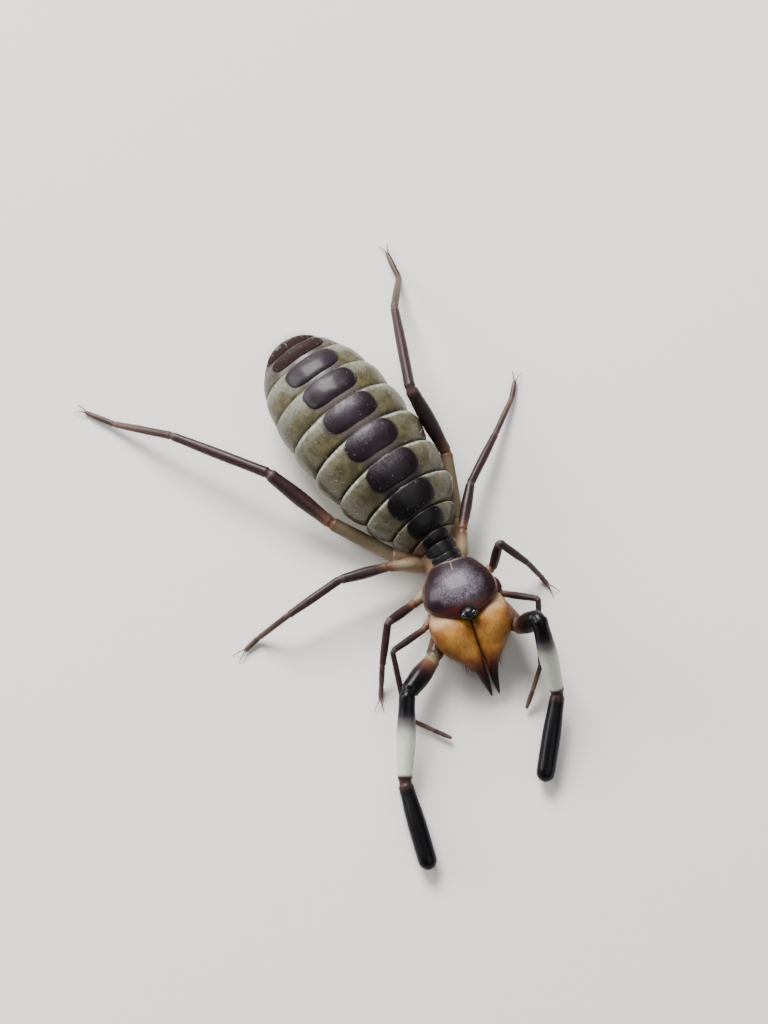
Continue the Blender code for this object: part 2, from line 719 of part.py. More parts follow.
def run_rings(start, end, start_normal, end_normal, profile, gaps):
    """Makes the rings of one straight length, mitred at both ends and shortened by its gaps."""
    along = (end - start).normalized()
    length = (end - start).length
    side = Vector((0.0, 0.0, 1.0)).cross(along).normalized()
    up = along.cross(side)
    first, last = profile[0][1], profile[-1][1]
    rings = []
    for share, half_width in profile:
        ring = []
        for index in range(LIMB_SIDES):
            angle = math.tau * index / LIMB_SIDES
            around = side * math.cos(angle) + up * math.sin(angle)
            low = (start_normal * (gaps[0] / 2) - around * first).dot(start_normal)
            low = max(low / along.dot(start_normal), -MITRE_REACH * first)
            high = (-end_normal * (gaps[1] / 2) - around * last).dot(end_normal)
            high = min(high / along.dot(end_normal), MITRE_REACH * last) + length
            ring.append(start + along * (low + (high - low) * share) + around * half_width)
        rings.append(ring)
    return rings


def swelling(part):
    """Gives the half width of a limb's length from its joint, over its belly, to its end."""
    return (
        (0.0, part.start * NECK),
        (NECK_SHARE, part.start),
        (0.5, part.middle),
        (1.0 - NECK_SHARE, part.end),
        (1.0, part.end * NECK),
    )


def on_floor(rings):
    """Flattens what would reach below the floor."""
    return [[Vector((point.x, point.y, max(point.z, 0.0))) for point in ring] for ring in rings]


def claw(tip, forward, side):
    """Makes one curved claw that springs from inside the foot and turns down at its point."""
    outward = Vector((0.0, 0.0, 1.0)).cross(forward).normalized() * side
    rings = []
    for index in range(CLAW_STEPS):
        share = index / CLAW_STEPS
        reach = share * CLAW_LENGTH - CLAW_SINK
        spread = math.sin(CLAW_SPREAD) * max(reach, 0.0)
        lift = CLAW_RISE * math.sin(math.pi * share)
        centre = tip + forward * reach + outward * (spread + CLAW_ROOT_ASIDE)
        centre.z += lift - CLAW_ROOT_DROP
        radius = CLAW_RADIUS * (1.0 - CLAW_TAPER * share)
        ring = []
        for corner in range(CLAW_SIDES):
            angle = math.tau * corner / CLAW_SIDES
            upward = Vector((0.0, 0.0, radius * math.sin(angle)))
            ring.append(centre + outward * radius * math.cos(angle) + upward)
        rings.append(ring)
    reach = CLAW_LENGTH - CLAW_SINK
    point = tip + forward * reach + outward * (math.sin(CLAW_SPREAD) * reach + CLAW_POINT_ASIDE)
    point.z = CLAW_TIP_HEIGHT
    return loft("claw", on_floor(rings), None, point)


def tip_rings(point, along, half_width):
    """Rounds off a limb's end beyond its last ring."""
    side = Vector((0.0, 0.0, 1.0)).cross(along).normalized()
    up = along.cross(side)
    rings = []
    for angle in TIP_TURNS:
        reach, radius = half_width * math.sin(angle), half_width * math.cos(angle)
        ring = []
        for index in range(LIMB_SIDES):
            turn = math.tau * index / LIMB_SIDES
            ring.append(point + along * reach + (side * math.cos(turn) + up * math.sin(turn)) * radius)
        rings.append(ring)
    return rings, point + along * half_width


def make_limb(kind, side_name):
    """Makes a limb's pieces from the body outward: its lengths, with the foot as one piece."""
    parts = LEG_PARTS[kind]
    stance = STANCES[kind, side_name]
    points = limb_points(parts, stance)
    ways = [(after - before).normalized() for before, after in zip(points, points[1:])]
    normals = [ways[0]] + [(a + b).normalized() for a, b in zip(ways, ways[1:])] + [ways[-1]]
    pieces = []
    foot_start = len(parts) - (1 if kind == "palp" else 2)
    foot = []
    for index, part in enumerate(parts):
        start, end = points[index], points[index + 1]
        if index == 0:
            start = start - ways[0] * ROOT_SINK
        tip = index == len(parts) - 1
        in_foot = index > foot_start
        gaps = (0.0 if index == 0 or in_foot else LIMB_GAP, 0.0 if tip or index >= foot_start else LIMB_GAP)
        if tip:
            end = end - ways[index] * part.end
        rings = run_rings(start, end, normals[index], normals[index + 1], swelling(part), gaps)
        if index < foot_start:
            pieces.append((f"{kind}_{side_name}_{part.name}", loft("piece", rings), part.finish))
            continue
        foot += rings[1:] if in_foot else rings
        if tip:
            ends, point = tip_rings(end, ways[index], part.end * NECK)
            if kind.startswith("leg") and kind != "leg1":
                point.z = max(point.z, LEAST_TIP_HEIGHT)
            made = loft("piece", on_floor(foot + ends), None, point)
            if kind in ("leg2", "leg3", "leg4"):
                level = Vector((ways[index].x, ways[index].y, 0.0)).normalized()
                apply_boolean(made, [claw(point, level, 1), claw(point, level, -1)], "UNION")
            name = "tarsus" if kind == "palp" else "foot"
            pieces.append((f"{kind}_{side_name}_{name}", made, part.finish))
    for name, obj, _ in pieces:
        obj.name = name
        obj.data.name = name
    return [(obj, finish) for _, obj, finish in pieces]


def finish_node(obj, material, root):
    """Gives a piece its material, its size in metres, its own origin and its parent."""
    obj.data.materials.clear()
    obj.data.materials.append(material)
    for polygon in obj.data.polygons:
        polygon.material_index = 0
    obj.data.shade_smooth()
    obj.data.set_sharp_from_angle(angle=SHARP_ANGLE)
    middle = sum((vert.co for vert in obj.data.vertices), Vector()) / len(obj.data.vertices)
    obj.data.transform(Matrix.Translation(-middle))
    obj.data.transform(Matrix.Scale(MM, 4))
    obj.location = middle * MM
    obj.parent = root


def stand_on_origin(root, nodes):
    """Moves the whole animal so that the middle of its outline stands on the origin."""
    corners = [node.location + vert.co for node in nodes for vert in node.data.vertices]
    low = [min(corner[axis] for corner in corners) for axis in range(3)]
    high = [max(corner[axis] for corner in corners) for axis in range(3)]
    root.location = (-(low[0] + high[0]) / 2, -(low[1] + high[1]) / 2, -low[2])


def main():
    """Builds every piece of the animal and hangs it on one empty."""
    clear_scene()
    materials = make_materials()
    cutters = []
    eyes = []
    abdomen = make_abdomen(cutters)
    head = make_head(eyes, cutters)
    thorax = make_thorax(cutters)
    pieces = [(abdomen, "pleura"), (thorax, "waist"), (head, "shield")]
    pieces += [(eye, "eye") for eye in eyes]
    head_cutters = [cutter for cutter in cutters if cutter.name == "head_cutter"]
    for name, side in (("left", 1), ("right", -1)):
        hand, finger, own_cutters = make_chelicera(name, side, head_cutters)
        pieces += [(hand, "chelicera"), (finger, "fang")]
        cutters += own_cutters
    for kind, side_name in STANCES:
        for index, (obj, finish) in enumerate(make_limb(kind, side_name)):
            if index == 0:
                cut_clear(obj, cutters)
            pieces.append((obj, finish))
    root = bpy.data.objects.new("camel_spider", None)
    bpy.context.collection.objects.link(root)
    for obj, finish in pieces:
        finish_node(obj, materials[finish], root)
    stand_on_origin(root, [obj for obj, _ in pieces])


main()
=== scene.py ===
"""The look of a life-size camel spider, dressed over its solid frame.

Shapes are worked out in millimetres in the animal's own frame: the waist is near the origin, the
head points toward -Y, the animal's own left side is at +X and the floor is at z = 0. Each piece
becomes metres, in the place that the frame's eyes give, when its mesh is made.
"""

import logging
import math
from collections.abc import Callable, Sequence
from dataclasses import dataclass, field
from enum import Enum
from functools import cache

import bmesh
import bpy
import numpy as np
from mathutils import Matrix, Vector


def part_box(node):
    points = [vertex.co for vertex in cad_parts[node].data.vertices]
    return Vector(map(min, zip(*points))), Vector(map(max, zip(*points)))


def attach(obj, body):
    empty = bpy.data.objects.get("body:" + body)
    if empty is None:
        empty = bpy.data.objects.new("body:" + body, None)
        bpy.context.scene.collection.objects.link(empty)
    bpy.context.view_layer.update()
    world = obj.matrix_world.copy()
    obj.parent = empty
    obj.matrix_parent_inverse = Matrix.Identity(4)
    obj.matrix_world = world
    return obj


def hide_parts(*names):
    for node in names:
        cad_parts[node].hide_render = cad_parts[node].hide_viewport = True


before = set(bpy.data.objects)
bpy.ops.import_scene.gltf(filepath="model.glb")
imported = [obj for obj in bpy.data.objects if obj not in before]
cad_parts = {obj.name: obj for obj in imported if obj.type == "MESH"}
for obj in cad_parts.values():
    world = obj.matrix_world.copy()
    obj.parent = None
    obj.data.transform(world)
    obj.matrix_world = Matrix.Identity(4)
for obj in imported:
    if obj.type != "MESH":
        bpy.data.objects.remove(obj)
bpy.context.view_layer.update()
LOG = logging.getLogger("camel_spider")

MM = 0.001
IMAGE_WIDTH = 768
IMAGE_HEIGHT = 1024
BODY = "root"
SIDES = (("left", 1.0), ("right", -1.0))
Array = np.ndarray
Inputs = dict[int | str, object]
Values = dict[str, Array]
Mesh = bpy.types.Mesh
Object = bpy.types.Object
Socket = bpy.types.NodeSocket
Colour = tuple[float, float, float]
Stops = tuple[tuple[float, Colour], ...]
Numbers = tuple[float, ...]
Stations = tuple[Numbers, ...]


def tone(red: int, green: int, blue: int) -> Colour:
    """Turns a colour as seen on a screen, from 0 to 255, into linear light."""
    shares = [value / 255 for value in (red, green, blue)]
    linear = [s / 12.92 if s <= 0.04045 else ((s + 0.055) / 1.055) ** 2.4 for s in shares]
    return linear[0], linear[1], linear[2]


def held(value: Array | float) -> Array:
    """Holds a value between 0 and 1."""
    return np.clip(value, 0.0, 1.0)


def eased(value: Array | float) -> Array:
    """Eases a value from 0 to 1 and holds it outside that range."""
    share = held(value)
    return share * share * (3.0 - 2.0 * share)


def hump(value: Array, middle: float, width: float, power: int = 2) -> Array:
    """Gives a smooth hump, 1 at its middle and about a third at its width to either side."""
    return np.exp(-(((value - middle) / width) ** power))


def turns(count: int) -> Array:
    """Gives evenly spaced turns once round."""
    return np.linspace(0.0, math.tau, count, endpoint=False)


def bowed(count: int) -> Array:
    """Gives places from -1 to 1 that crowd toward both ends."""
    return np.sin(np.linspace(-math.pi / 2, math.pi / 2, count))


def grid(rows: Array, columns: Array) -> list[Array]:
    """Gives the row value and the column value at each point of a grid."""
    return np.meshgrid(rows, columns, indexing="ij")


def shell(rows: int, columns: int) -> tuple[Array, Array, Array]:
    """Gives how far down and across a plate its rings' points lie, and which are below it."""
    over = bowed(columns)
    down, across = grid(bowed(rows), np.concatenate([over, over[::-1][1:-1]]))
    return down, across, np.broadcast_to(np.arange(across.shape[1]) >= columns, across.shape)


def end_means(rows: Array) -> Array:
    """Gives the mean of the first row and of the last."""
    return np.stack([rows[0].mean(axis=0), rows[-1].mean(axis=0)])


def unit_ball(rows: int, columns: int, margin: float = 0.06) -> Array:
    """Gives the rings of a ball of radius 1, from the top down, open by a margin at its poles."""
    polar, turn = grid(np.linspace(margin, math.pi - margin, rows), turns(columns))
    return np.stack([np.sin(polar) * np.cos(turn), np.sin(polar) * np.sin(turn), np.cos(polar)], axis=-1)


def direction(turn: float, rise: float) -> tuple[float, float, float]:
    """Gives the way of a turn from straight ahead and a rise, both in radians."""
    return math.sin(turn) * math.cos(rise), -math.cos(turn) * math.cos(rise), math.sin(rise)


def along_stops(share: Array, stops: Sequence[tuple[float, Sequence[float]]]) -> Array:
    """Blends between named stops.

    Args:
        share: Where along the stops each point lies.
        stops: Pairs of a place and the values there, in order.

    Returns:
        One row of values for each point.
    """
    places = [stop[0] for stop in stops]
    values = np.array([stop[1] for stop in stops], dtype=float)
    columns = [np.interp(share, places, values[:, index]) for index in range(values.shape[1])]
    return np.stack(columns, axis=-1)


def unit(way: Array) -> Array:
    """Gives a way of length 1."""
    return way / np.linalg.norm(way)


def transformed(points: Array, matrix: Matrix) -> Array:
    """Moves an array of points by a placement matrix."""
    turn = np.array(matrix.to_3x3())
    return points @ turn.T + np.array(matrix.translation)


def ripple(points: Array, size: float, seed: int) -> Array:
    """Gives a smooth, repeatable unevenness between about -1 and 1.

    Args:
        points: Places in millimetres.
        size: The rough width of one bump.
        seed: Picks the set of waves.

    Returns:
        One value for each point.
    """
    draw = np.random.default_rng(seed)
    total = np.zeros(points.shape[:-1])
    waves = 7
    for _ in range(waves):
        way = draw.normal(size=3)
        way *= math.tau / (size * draw.uniform(0.8, 1.7) * np.linalg.norm(way))
        total += np.sin(points @ way + draw.uniform(0.0, math.tau))
    return total / math.sqrt(waves)


class Node(Enum):
    """The shader nodes that the finishes use."""

    COORDINATES = "ShaderNodeTexCoord"
    ATTRIBUTE = "ShaderNodeAttribute"
    VECTOR = "ShaderNodeVectorMath"
    MATH = "ShaderNodeMath"
    NOISE = "ShaderNodeTexNoise"
    CELLS = "ShaderNodeTexVoronoi"
    MIX = "ShaderNodeMix"
    BUMP = "ShaderNodeBump"
    SPLIT = "ShaderNodeSeparateXYZ"


class Value:
    """A shader socket that adds Math nodes when it is used in a sum."""

    def __init__(self, canvas: "Canvas", socket: Socket) -> None:
        """Wraps a socket of a canvas."""
        self.canvas = canvas
        self.socket = socket

    def _math(self, operation: str, first: "Value | float", second: "Value | float") -> "Value":
        """Adds one Math node."""
        made = self.canvas.add(Node.MATH, {"operation": operation}, {0: first, 1: second})
        return Value(self.canvas, made.outputs[0])

    def __add__(self, other: "Value | float") -> "Value":
        """Adds."""
        return self._math("ADD", self, other)

    def __sub__(self, other: "Value | float") -> "Value":
        """Subtracts."""
        return self._math("SUBTRACT", self, other)

    def __rsub__(self, other: float) -> "Value":
        """Subtracts, from the right."""
        return self._math("SUBTRACT", other, self)

    def __mul__(self, other: "Value | float") -> "Value":
        """Multiplies."""
        return self._math("MULTIPLY", self, other)

    def __truediv__(self, other: "Value | float") -> "Value":
        """Divides."""
        return self._math("DIVIDE", self, other)

    def band(self, low: float, high: float) -> "Value":
        """Rises from 0 to 1 between two values, and falls where low is above high."""
        shifted = (self - low) / (high - low)
        settings = {"operation": "ADD", "use_clamp": True}
        made = self.canvas.add(Node.MATH, settings, {0: shifted, 1: 0.0})
        return Value(self.canvas, made.outputs[0])


class Canvas:
    """A material while its nodes are being set."""

    def __init__(self, name: str) -> None:
        """Starts a material with its Principled shader."""
        self.material = bpy.data.materials.new(name)
        self.material.use_nodes = True
        self.tree = self.material.node_tree
        self.shader = self.tree.nodes["Principled BSDF"]
        self._place: Socket | None = None

    def add(self, kind: Node, settings: dict[str, object], inputs: Inputs) -> bpy.types.Node:
        """Adds a node.

        Args:
            kind: Which node.
            settings: What is set on the node itself, before its sockets.
            inputs: A number, a colour, a Value or a socket for each input by name or number.

        Returns:
            The new node.
        """
        made = self.tree.nodes.new(kind.value)
        for name, setting in settings.items():
            setattr(made, name, setting)
        for key, given in inputs.items():
            self.feed(made.inputs[key], given)
        return made

    def feed(self, socket: Socket, given: object) -> None:
        """Links a Value or a socket to an input, or sets a number or a colour there."""
        if isinstance(given, Value):
            self.tree.links.new(given.socket, socket)
        elif isinstance(given, Socket):
            self.tree.links.new(given, socket)
        elif socket.type == "RGBA":
            socket.default_value = (*given, 1.0)
        else:
            socket.default_value = given

    def place(self) -> Socket:
        """Gives the object's own coordinates in millimetres."""
        if self._place is None:
            own = self.add(Node.COORDINATES, {}, {}).outputs["Object"]
            scaled = self.add(Node.VECTOR, {"operation": "SCALE"}, {0: own, "Scale": 1.0 / MM})
            self._place = scaled.outputs[0]
        return self._place

    def noise(self, size: float, detail: float = 2.0, shift: float = 0.0) -> Value:
        """Gives a soft noise whose bumps are about the given size in millimetres."""
        moved = self.add(Node.VECTOR, {"operation": "ADD"}, {0: self.place(), 1: (shift, shift, shift)})
        inputs = {"Vector": moved.outputs[0], "Scale": 1.0 / size, "Detail": detail}
        return Value(self, self.add(Node.NOISE, {}, inputs).outputs[0])

    def cells(self, size: float) -> Value:
        """Gives the distance to the nearest cell middle, with cells of the given size."""
        inputs = {"Vector": self.place(), "Scale": 1.0 / size}
        return Value(self, self.add(Node.CELLS, {}, inputs).outputs["Distance"])

    def attribute(self, name: str) -> Value:
        """Reads a number that the mesh holds at its points."""
        return Value(self, self.add(Node.ATTRIBUTE, {"attribute_name": name}, {}).outputs["Fac"])

    def colours(self, name: str) -> Socket:
        """Reads a colour that the mesh holds at its points."""
        return self.add(Node.ATTRIBUTE, {"attribute_name": name}, {}).outputs["Color"]

    def mix(self, share: Value | float, below: object, top: object, way: str = "MIX") -> Socket:
        """Lays a share of one colour over another."""
        settings = {"data_type": "RGBA", "blend_type": way, "clamp_factor": True}
        return self.add(Node.MIX, settings, {0: share, 6: below, 7: top}).outputs[2]

    def layers(self, below: object, *tops: tuple[str, Colour, float]) -> Socket:
        """Lays colours over another, each by where the mesh's value says, its tone and strength."""
        for name, top, strength in tops:
            below = self.mix(self.attribute(name) * strength, below, top)
        return below

    def bump(self, height: Value, depth: float) -> None:
        """Raises the surface by a height from 0 to 1 of the given depth in millimetres."""
        inputs = {"Height": height, "Distance": depth * MM, "Strength": 1.0}
        self.feed(self.shader.inputs["Normal"], self.add(Node.BUMP, {}, inputs).outputs[0])

    def set(self, **sockets: object) -> None:
        """Feeds the shader's own sockets, named with underscores."""
        for name, given in sockets.items():
            self.feed(self.shader.inputs[name.replace("_", " ")], given)


@dataclass(frozen=True)
class Finish:
    """What every finish has: its name, its gloss, its relief and the skin's inner glow."""

    name: str
    roughness: float = 0.4
    coat: float = 0.0
    coat_roughness: float = 0.2
    specular: float = 0.5
    relief: float = 0.0
    glow: float = 0.0
    glow_depth: float = 0.25
    glow_spread: tuple[float, float, float] = (1.0, 0.6, 0.35)

    def material(self) -> bpy.types.Material:
        """Makes the material."""
        canvas = Canvas(self.name)
        canvas.set(Roughness=self.roughness, Specular_IOR_Level=self.specular)
        canvas.set(Coat_Weight=self.coat, Coat_Roughness=self.coat_roughness)
        if self.glow:
            canvas.set(Subsurface_Weight=self.glow, Subsurface_Scale=self.glow_depth * MM)
            canvas.shader.inputs["Subsurface Radius"].default_value = self.glow_spread
        self.paint(canvas)
        return canvas.material

    def paint(self, canvas: Canvas) -> None:
        """Sets what changes over the surface."""


@dataclass(frozen=True)
class PleuraFinish(Finish):
    """The soft skin of the abdomen: olive pillows, a brown strip down the back, a pale belly."""

    olive: Colour = tone(84, 77, 50)
    dark_olive: Colour = tone(44, 38, 25)
    grey: Colour = tone(110, 112, 99)
    strip: Colour = tone(70, 61, 56)
    tail: Colour = tone(44, 30, 27)
    plum: Colour = tone(30, 18, 24)
    lip: Colour = tone(184, 186, 172)
    waist: Colour = tone(74, 50, 38)
    belly: Colour = tone(132, 116, 84)
    crease: Colour = tone(22, 17, 12)
    blotch_size: float = 0.62
    mottle_size: float = 0.24
    pebble_size: float = 0.09
    wrinkle_size: float = 0.22

    def paint(self, canvas: Canvas) -> None:
        """Mottles the pillows; paints sheen and lip highlights, and shade in the creases, slits, low edges
        and round plates.
        """
        blotch = canvas.noise(self.blotch_size, 3.0).band(0.44, 0.6)
        mottle = canvas.noise(self.mottle_size, 3.0, 7.0).band(0.46, 0.62)
        colour = canvas.mix(blotch * 0.6, self.olive, self.dark_olive)
        colour = canvas.mix(canvas.attribute("sheen") * (1.0 - mottle * 0.5), colour, self.grey)
        # The low value lays painted shade low on the flanks.
        colour = canvas.layers(
            colour, ("low", self.dark_olive, 0.8), ("belly", self.belly, 1.0), ("strip", self.strip, 1.0),
        )
        # Painted highlight on the pillows' rear lips, partly their paler thin cuticle.
        colour = canvas.mix(canvas.attribute("lip") * (1.0 - mottle * 0.6) * 0.7, colour, self.lip)
        colour = canvas.layers(
            colour, ("dusk", self.plum, 0.85), ("tail", self.tail, 0.85), ("waist", self.waist, 1.0),
        )
        colour = canvas.mix(mottle * 0.25, colour, self.dark_olive)
        # Painted shade in the creases and the slits, and painted shadow round the plates.
        colour = canvas.layers(
            colour, ("crease", self.crease, 0.85), ("slit", self.crease, 0.9), ("halo", self.plum, 1.0),
        )
        pebbles = canvas.cells(self.pebble_size)
        wrinkles = canvas.noise(self.wrinkle_size, 4.0, 3.0)
        soft = 1.0 - canvas.attribute("strip") * 0.7
        canvas.bump((pebbles * 0.25 + wrinkles) * soft, self.relief)
        canvas.set(Base_Color=colour, Roughness=wrinkles * 0.25 + self.roughness - 0.12)


@dataclass(frozen=True)
class PlateFinish(Finish):
    """The dark, purplish plates of the back."""

    dark: Colour = tone(17, 9, 13)
    violet: Colour = tone(37, 22, 33)
    black: Colour = tone(7, 5, 7)
    rust: Colour = tone(33, 20, 20)
    haze: Colour = tone(104, 96, 102)
    cloud_size: float = 0.9
    grain_size: float = 0.05
    fleck_size: float = 0.16

    def paint(self, canvas: Canvas) -> None:
        """Clouds the plates with violet, gives them a fine grain and paints a grey reflection haze on their
        rear middles.
        """
        cloud = canvas.noise(self.cloud_size, 2.0, 2.0).band(0.35, 0.7)
        grain = canvas.noise(self.grain_size, 2.0, 5.0)
        fleck = canvas.noise(self.fleck_size, 4.0, 6.0).band(0.36, 0.66)
        colour = canvas.mix(cloud * canvas.attribute("middle"), self.dark, self.violet)
        colour = canvas.layers(colour, ("front", self.black, 1.0), ("rear", self.rust, 1.0))
        # Painted reflection: grey haze on the plates' rear middles.
        colour = canvas.mix(canvas.attribute("haze") * (fleck * 0.35 + 0.12), colour, self.haze)
        canvas.bump(grain * 0.5 + canvas.noise(0.3, 3.0, 9.0), self.relief)
        dull = canvas.attribute("rear") * 0.3
        canvas.set(Base_Color=colour, Roughness=grain * 0.2 + dull + self.roughness - 0.08)


@dataclass(frozen=True)
class ShieldFinish(Finish):
    """The shield: chestnut rim, violet ring, grey frosted middle with dark pores, the frost partly a
    painted reflection.
    """

    chestnut: Colour = tone(60, 21, 17)
    violet: Colour = tone(26, 11, 18)
    frost_sheen: Colour = tone(98, 90, 101)
    thread: Colour = tone(170, 140, 120)
    rim: Colour = tone(62, 27, 20)
    black: Colour = tone(9, 8, 10)
    pore_size: float = 0.11
    cloud_size: float = 0.1

    def paint(self, canvas: Canvas) -> None:
        """Paints the zones from the rim inward."""
        outward = canvas.attribute("outward") + (canvas.noise(0.5, 3.0) - 0.5) * 0.45
        pores = canvas.cells(self.pore_size).band(0.3, 0.16)
        cloud = canvas.noise(self.cloud_size, 4.0, 4.0).band(0.38, 0.66)
        # The grey frost is partly the shield's own grey and partly a painted reflection.
        frost_sheen_mask = outward.band(0.74, 0.42) * (1.0 - pores * 0.6) * (cloud * 0.8 + 0.2)
        colour = canvas.mix(outward.band(0.9, 1.05) * 0.6, self.violet, self.chestnut)
        colour = canvas.layers(colour, ("front", self.chestnut, 1.0))
        colour = canvas.mix(frost_sheen_mask * (1.0 - canvas.attribute("front") * 0.85), colour, self.frost_sheen)
        colour = canvas.layers(
            colour, ("rim", self.rim, 1.0), ("groove", self.rim, 0.7), ("thread", self.thread, 0.7),
            ("black", self.black, 1.0),
        )
        canvas.bump(cloud * 0.4 - pores * 0.5, self.relief)
        canvas.set(Base_Color=colour, Roughness=frost_sheen_mask * 0.3 + self.roughness)


@dataclass(frozen=True)
class PincerFinish(Finish):
    """The pincers: amber hands with brown pores, fingers from dark red to black."""

    amber: Colour = tone(132, 82, 28)
    honey: Colour = tone(164, 116, 48)
    brown: Colour = tone(88, 44, 18)
    pale: Colour = tone(176, 146, 112)
    red: Colour = tone(56, 12, 8)
    black: Colour = tone(11, 5, 5)
    pore_size: float = 0.2
    fleck_size: float = 0.1

    def paint(self, canvas: Canvas) -> None:
        """Speckles the hand and darkens it toward the fingers' tips."""
        cloud = canvas.noise(0.9, 3.0).band(0.35, 0.65)
        pores = canvas.cells(self.pore_size).band(0.2, 0.08)
        flecks = canvas.noise(self.fleck_size, 4.0, 8.0).band(0.5, 0.7)
        reach = canvas.attribute("reach") + (canvas.noise(0.25, 2.0, 3.0) - 0.5) * 0.06
        colour = canvas.mix(cloud, self.amber, self.honey)
        colour = canvas.mix(flecks * 0.35, colour, self.brown)
        colour = canvas.layers(colour, ("side", self.brown, 0.6), ("pale", self.pale, 1.0))
        colour = canvas.mix(pores * 0.6, colour, self.brown)
        for low, high, top in ((0.42, 0.6, self.brown), (0.52, 0.64, self.red), (0.62, 0.76, self.black)):
            colour = canvas.mix(reach.band(low, high), colour, top)
        canvas.bump(canvas.noise(0.12, 3.0, 6.0) + pores * 0.35, self.relief)
        uneven = canvas.noise(0.3, 2.0, 1.0) * 0.2
        canvas.set(Base_Color=colour, Roughness=uneven + self.roughness - 0.1)


@dataclass(frozen=True)
class LimbFinish(Finish):
    """The limbs' cuticle, in the tones that run along each limb."""

    shade: Colour = (0.4, 0.4, 0.4)
    streak_size: float = 0.2
    grain_size: float = 0.06

    def paint(self, canvas: Canvas) -> None:
        """Streaks the limb's own tones and gives them a fine grain."""
        streaks = canvas.noise(self.streak_size, 4.0, 2.0)
        share = streaks.band(0.3, 0.75) * 0.35
        colour = canvas.mix(share, canvas.colours("tone"), self.shade, "MULTIPLY")
        canvas.bump(streaks + canvas.cells(self.grain_size) * 0.3, self.relief)
        canvas.set(Base_Color=colour, Roughness=streaks * 0.25 + self.roughness - 0.12)


@dataclass(frozen=True)
class MembraneFinish(Finish):
    """The pale, clouded skin of the hips and between the plates."""

    pale: Colour = tone(150, 122, 92)
    brown: Colour = tone(92, 64, 44)
    dark: Colour = tone(40, 25, 20)
    cloud_size: float = 0.9
    wrinkle_size: float = 0.15
    seam_depth: float = 2.0

    def paint(self, canvas: Canvas) -> None:
        """Clouds the skin, darker toward the middle of the body and above, with painted shade in the seams
        between the hips.
        """
        cloud = canvas.noise(self.cloud_size, 3.0).band(0.35, 0.65)
        height = Value(canvas, canvas.add(Node.SPLIT, {}, {0: canvas.place()}).outputs[2])
        colour = canvas.mix(cloud * 0.45, self.pale, self.brown)
        colour = canvas.mix(height.band(1.6, 2.6) * 0.5, colour, self.brown)
        colour = canvas.mix(height.band(2.5, 3.1) * 0.9, colour, self.dark)
        # Painted shade in the seams between the hips.
        colour = canvas.layers(colour, ("seam", self.dark, 0.85))
        wrinkles = canvas.noise(self.wrinkle_size, 3.0, 5.0)
        canvas.bump(wrinkles - canvas.attribute("seam") * self.seam_depth, self.relief)
        canvas.set(Base_Color=colour)


@dataclass(frozen=True)
class PlainFinish(Finish):
    """One clouded colour, for eyes, claws, bristles and the floor."""

    colour: Colour = (0.5, 0.5, 0.5)
    shade: float = 0.7
    cloud_size: float = 0.5

    def paint(self, canvas: Canvas) -> None:
        """Clouds the colour a little."""
        darker = tuple(part * self.shade for part in self.colour)
        cloud = canvas.noise(self.cloud_size, 2.0)
        canvas.set(Base_Color=canvas.mix(cloud, self.colour, darker))


VECTORS = ("lie", "root_place", "tone")


class Shape:
    """A mesh while it is put together from lofted grids, in millimetres."""

    def __init__(self) -> None:
        """Starts empty."""
        self.points: list[Array] = []
        self.faces: list[tuple[int, ...]] = []
        self.materials: list[int] = []
        self.edges: list[tuple[int, int]] = []
        self.values: dict[str, list[Array]] = {}
        self.count = 0

    def store(self, points: Array, values: Values) -> int:
        """Adds points with their values and gives the number of the first."""
        start = self.count
        self.points.append(points.reshape(-1, 3))
        added = self.points[-1].shape[0]
        for name in sorted(set(self.values) | set(values)):
            width = 3 if name in VECTORS else 1
            blocks = self.values.setdefault(name, [np.zeros((start, width))])
            given = values.get(name, np.zeros((added, width)))
            blocks.append(given.reshape(added, width))
        self.count += added
        return start

    def loft(self, rings: Array, values: Values | None = None, material: int = 0) -> None:
        """Joins closed rings into one closed surface.

        Args:
            rings: Points as rows of rings, each going once round.
            values: Numbers or vectors to keep at the points, in the same rows.
            material: The material's number.
        """
        rows, columns = rings.shape[:2]
        kept = values or {}
        start = self.store(rings, kept)
        ends = {name: end_means(given) for name, given in kept.items()}
        pole = self.store(end_means(rings), ends)
        for row in range(rows - 1):
            low = start + row * columns
            high = low + columns
            for column in range(columns):
                after = (column + 1) % columns
                self.faces.append((low + column, low + after, high + after, high + column))
        last = start + (rows - 1) * columns
        for column in range(columns):
            after = (column + 1) % columns
            self.faces.append((start + after, start + column, pole))
            self.faces.append((last + column, last + after, pole + 1))
        self.materials += [material] * (len(self.faces) - len(self.materials))

    def path(self, points: Array, values: Values) -> None:
        """Adds a line of points for Geometry Nodes to sweep a limb along."""
        start = self.store(points, values)
        self.edges += [(start + index, start + index + 1) for index in range(len(points) - 1)]

    def mesh(self, name: str, scale: float = MM) -> Mesh:
        """Makes the mesh in the frame's place.

        Args:
            name: The mesh's name.
            scale: The size of a millimetre in the mesh.

        Returns:
            The mesh, shaded smooth, its faces turned outward, with its values as attributes.
        """
        points = np.concatenate(self.points) + ANIMAL.shift
        made = bpy.data.meshes.new(name)
        made.from_pydata((points * scale).tolist(), self.edges, self.faces)
        made.polygons.foreach_set("material_index", self.materials)
        for label, blocks in self.values.items():
            block = np.concatenate(blocks)
            kind, slot = "FLOAT_VECTOR", "vector"
            if block.shape[1] == 1:
                kind, slot = "FLOAT", "value"
            elif label == "tone":
                kind, slot = "FLOAT_COLOR", "color"
                block = np.concatenate([block, np.ones((len(block), 1))], axis=1)
            made.attributes.new(label, kind, "POINT").data.foreach_set(slot, block.ravel())
        if self.faces:
            turn_outward(made)
        made.shade_smooth()
        return made


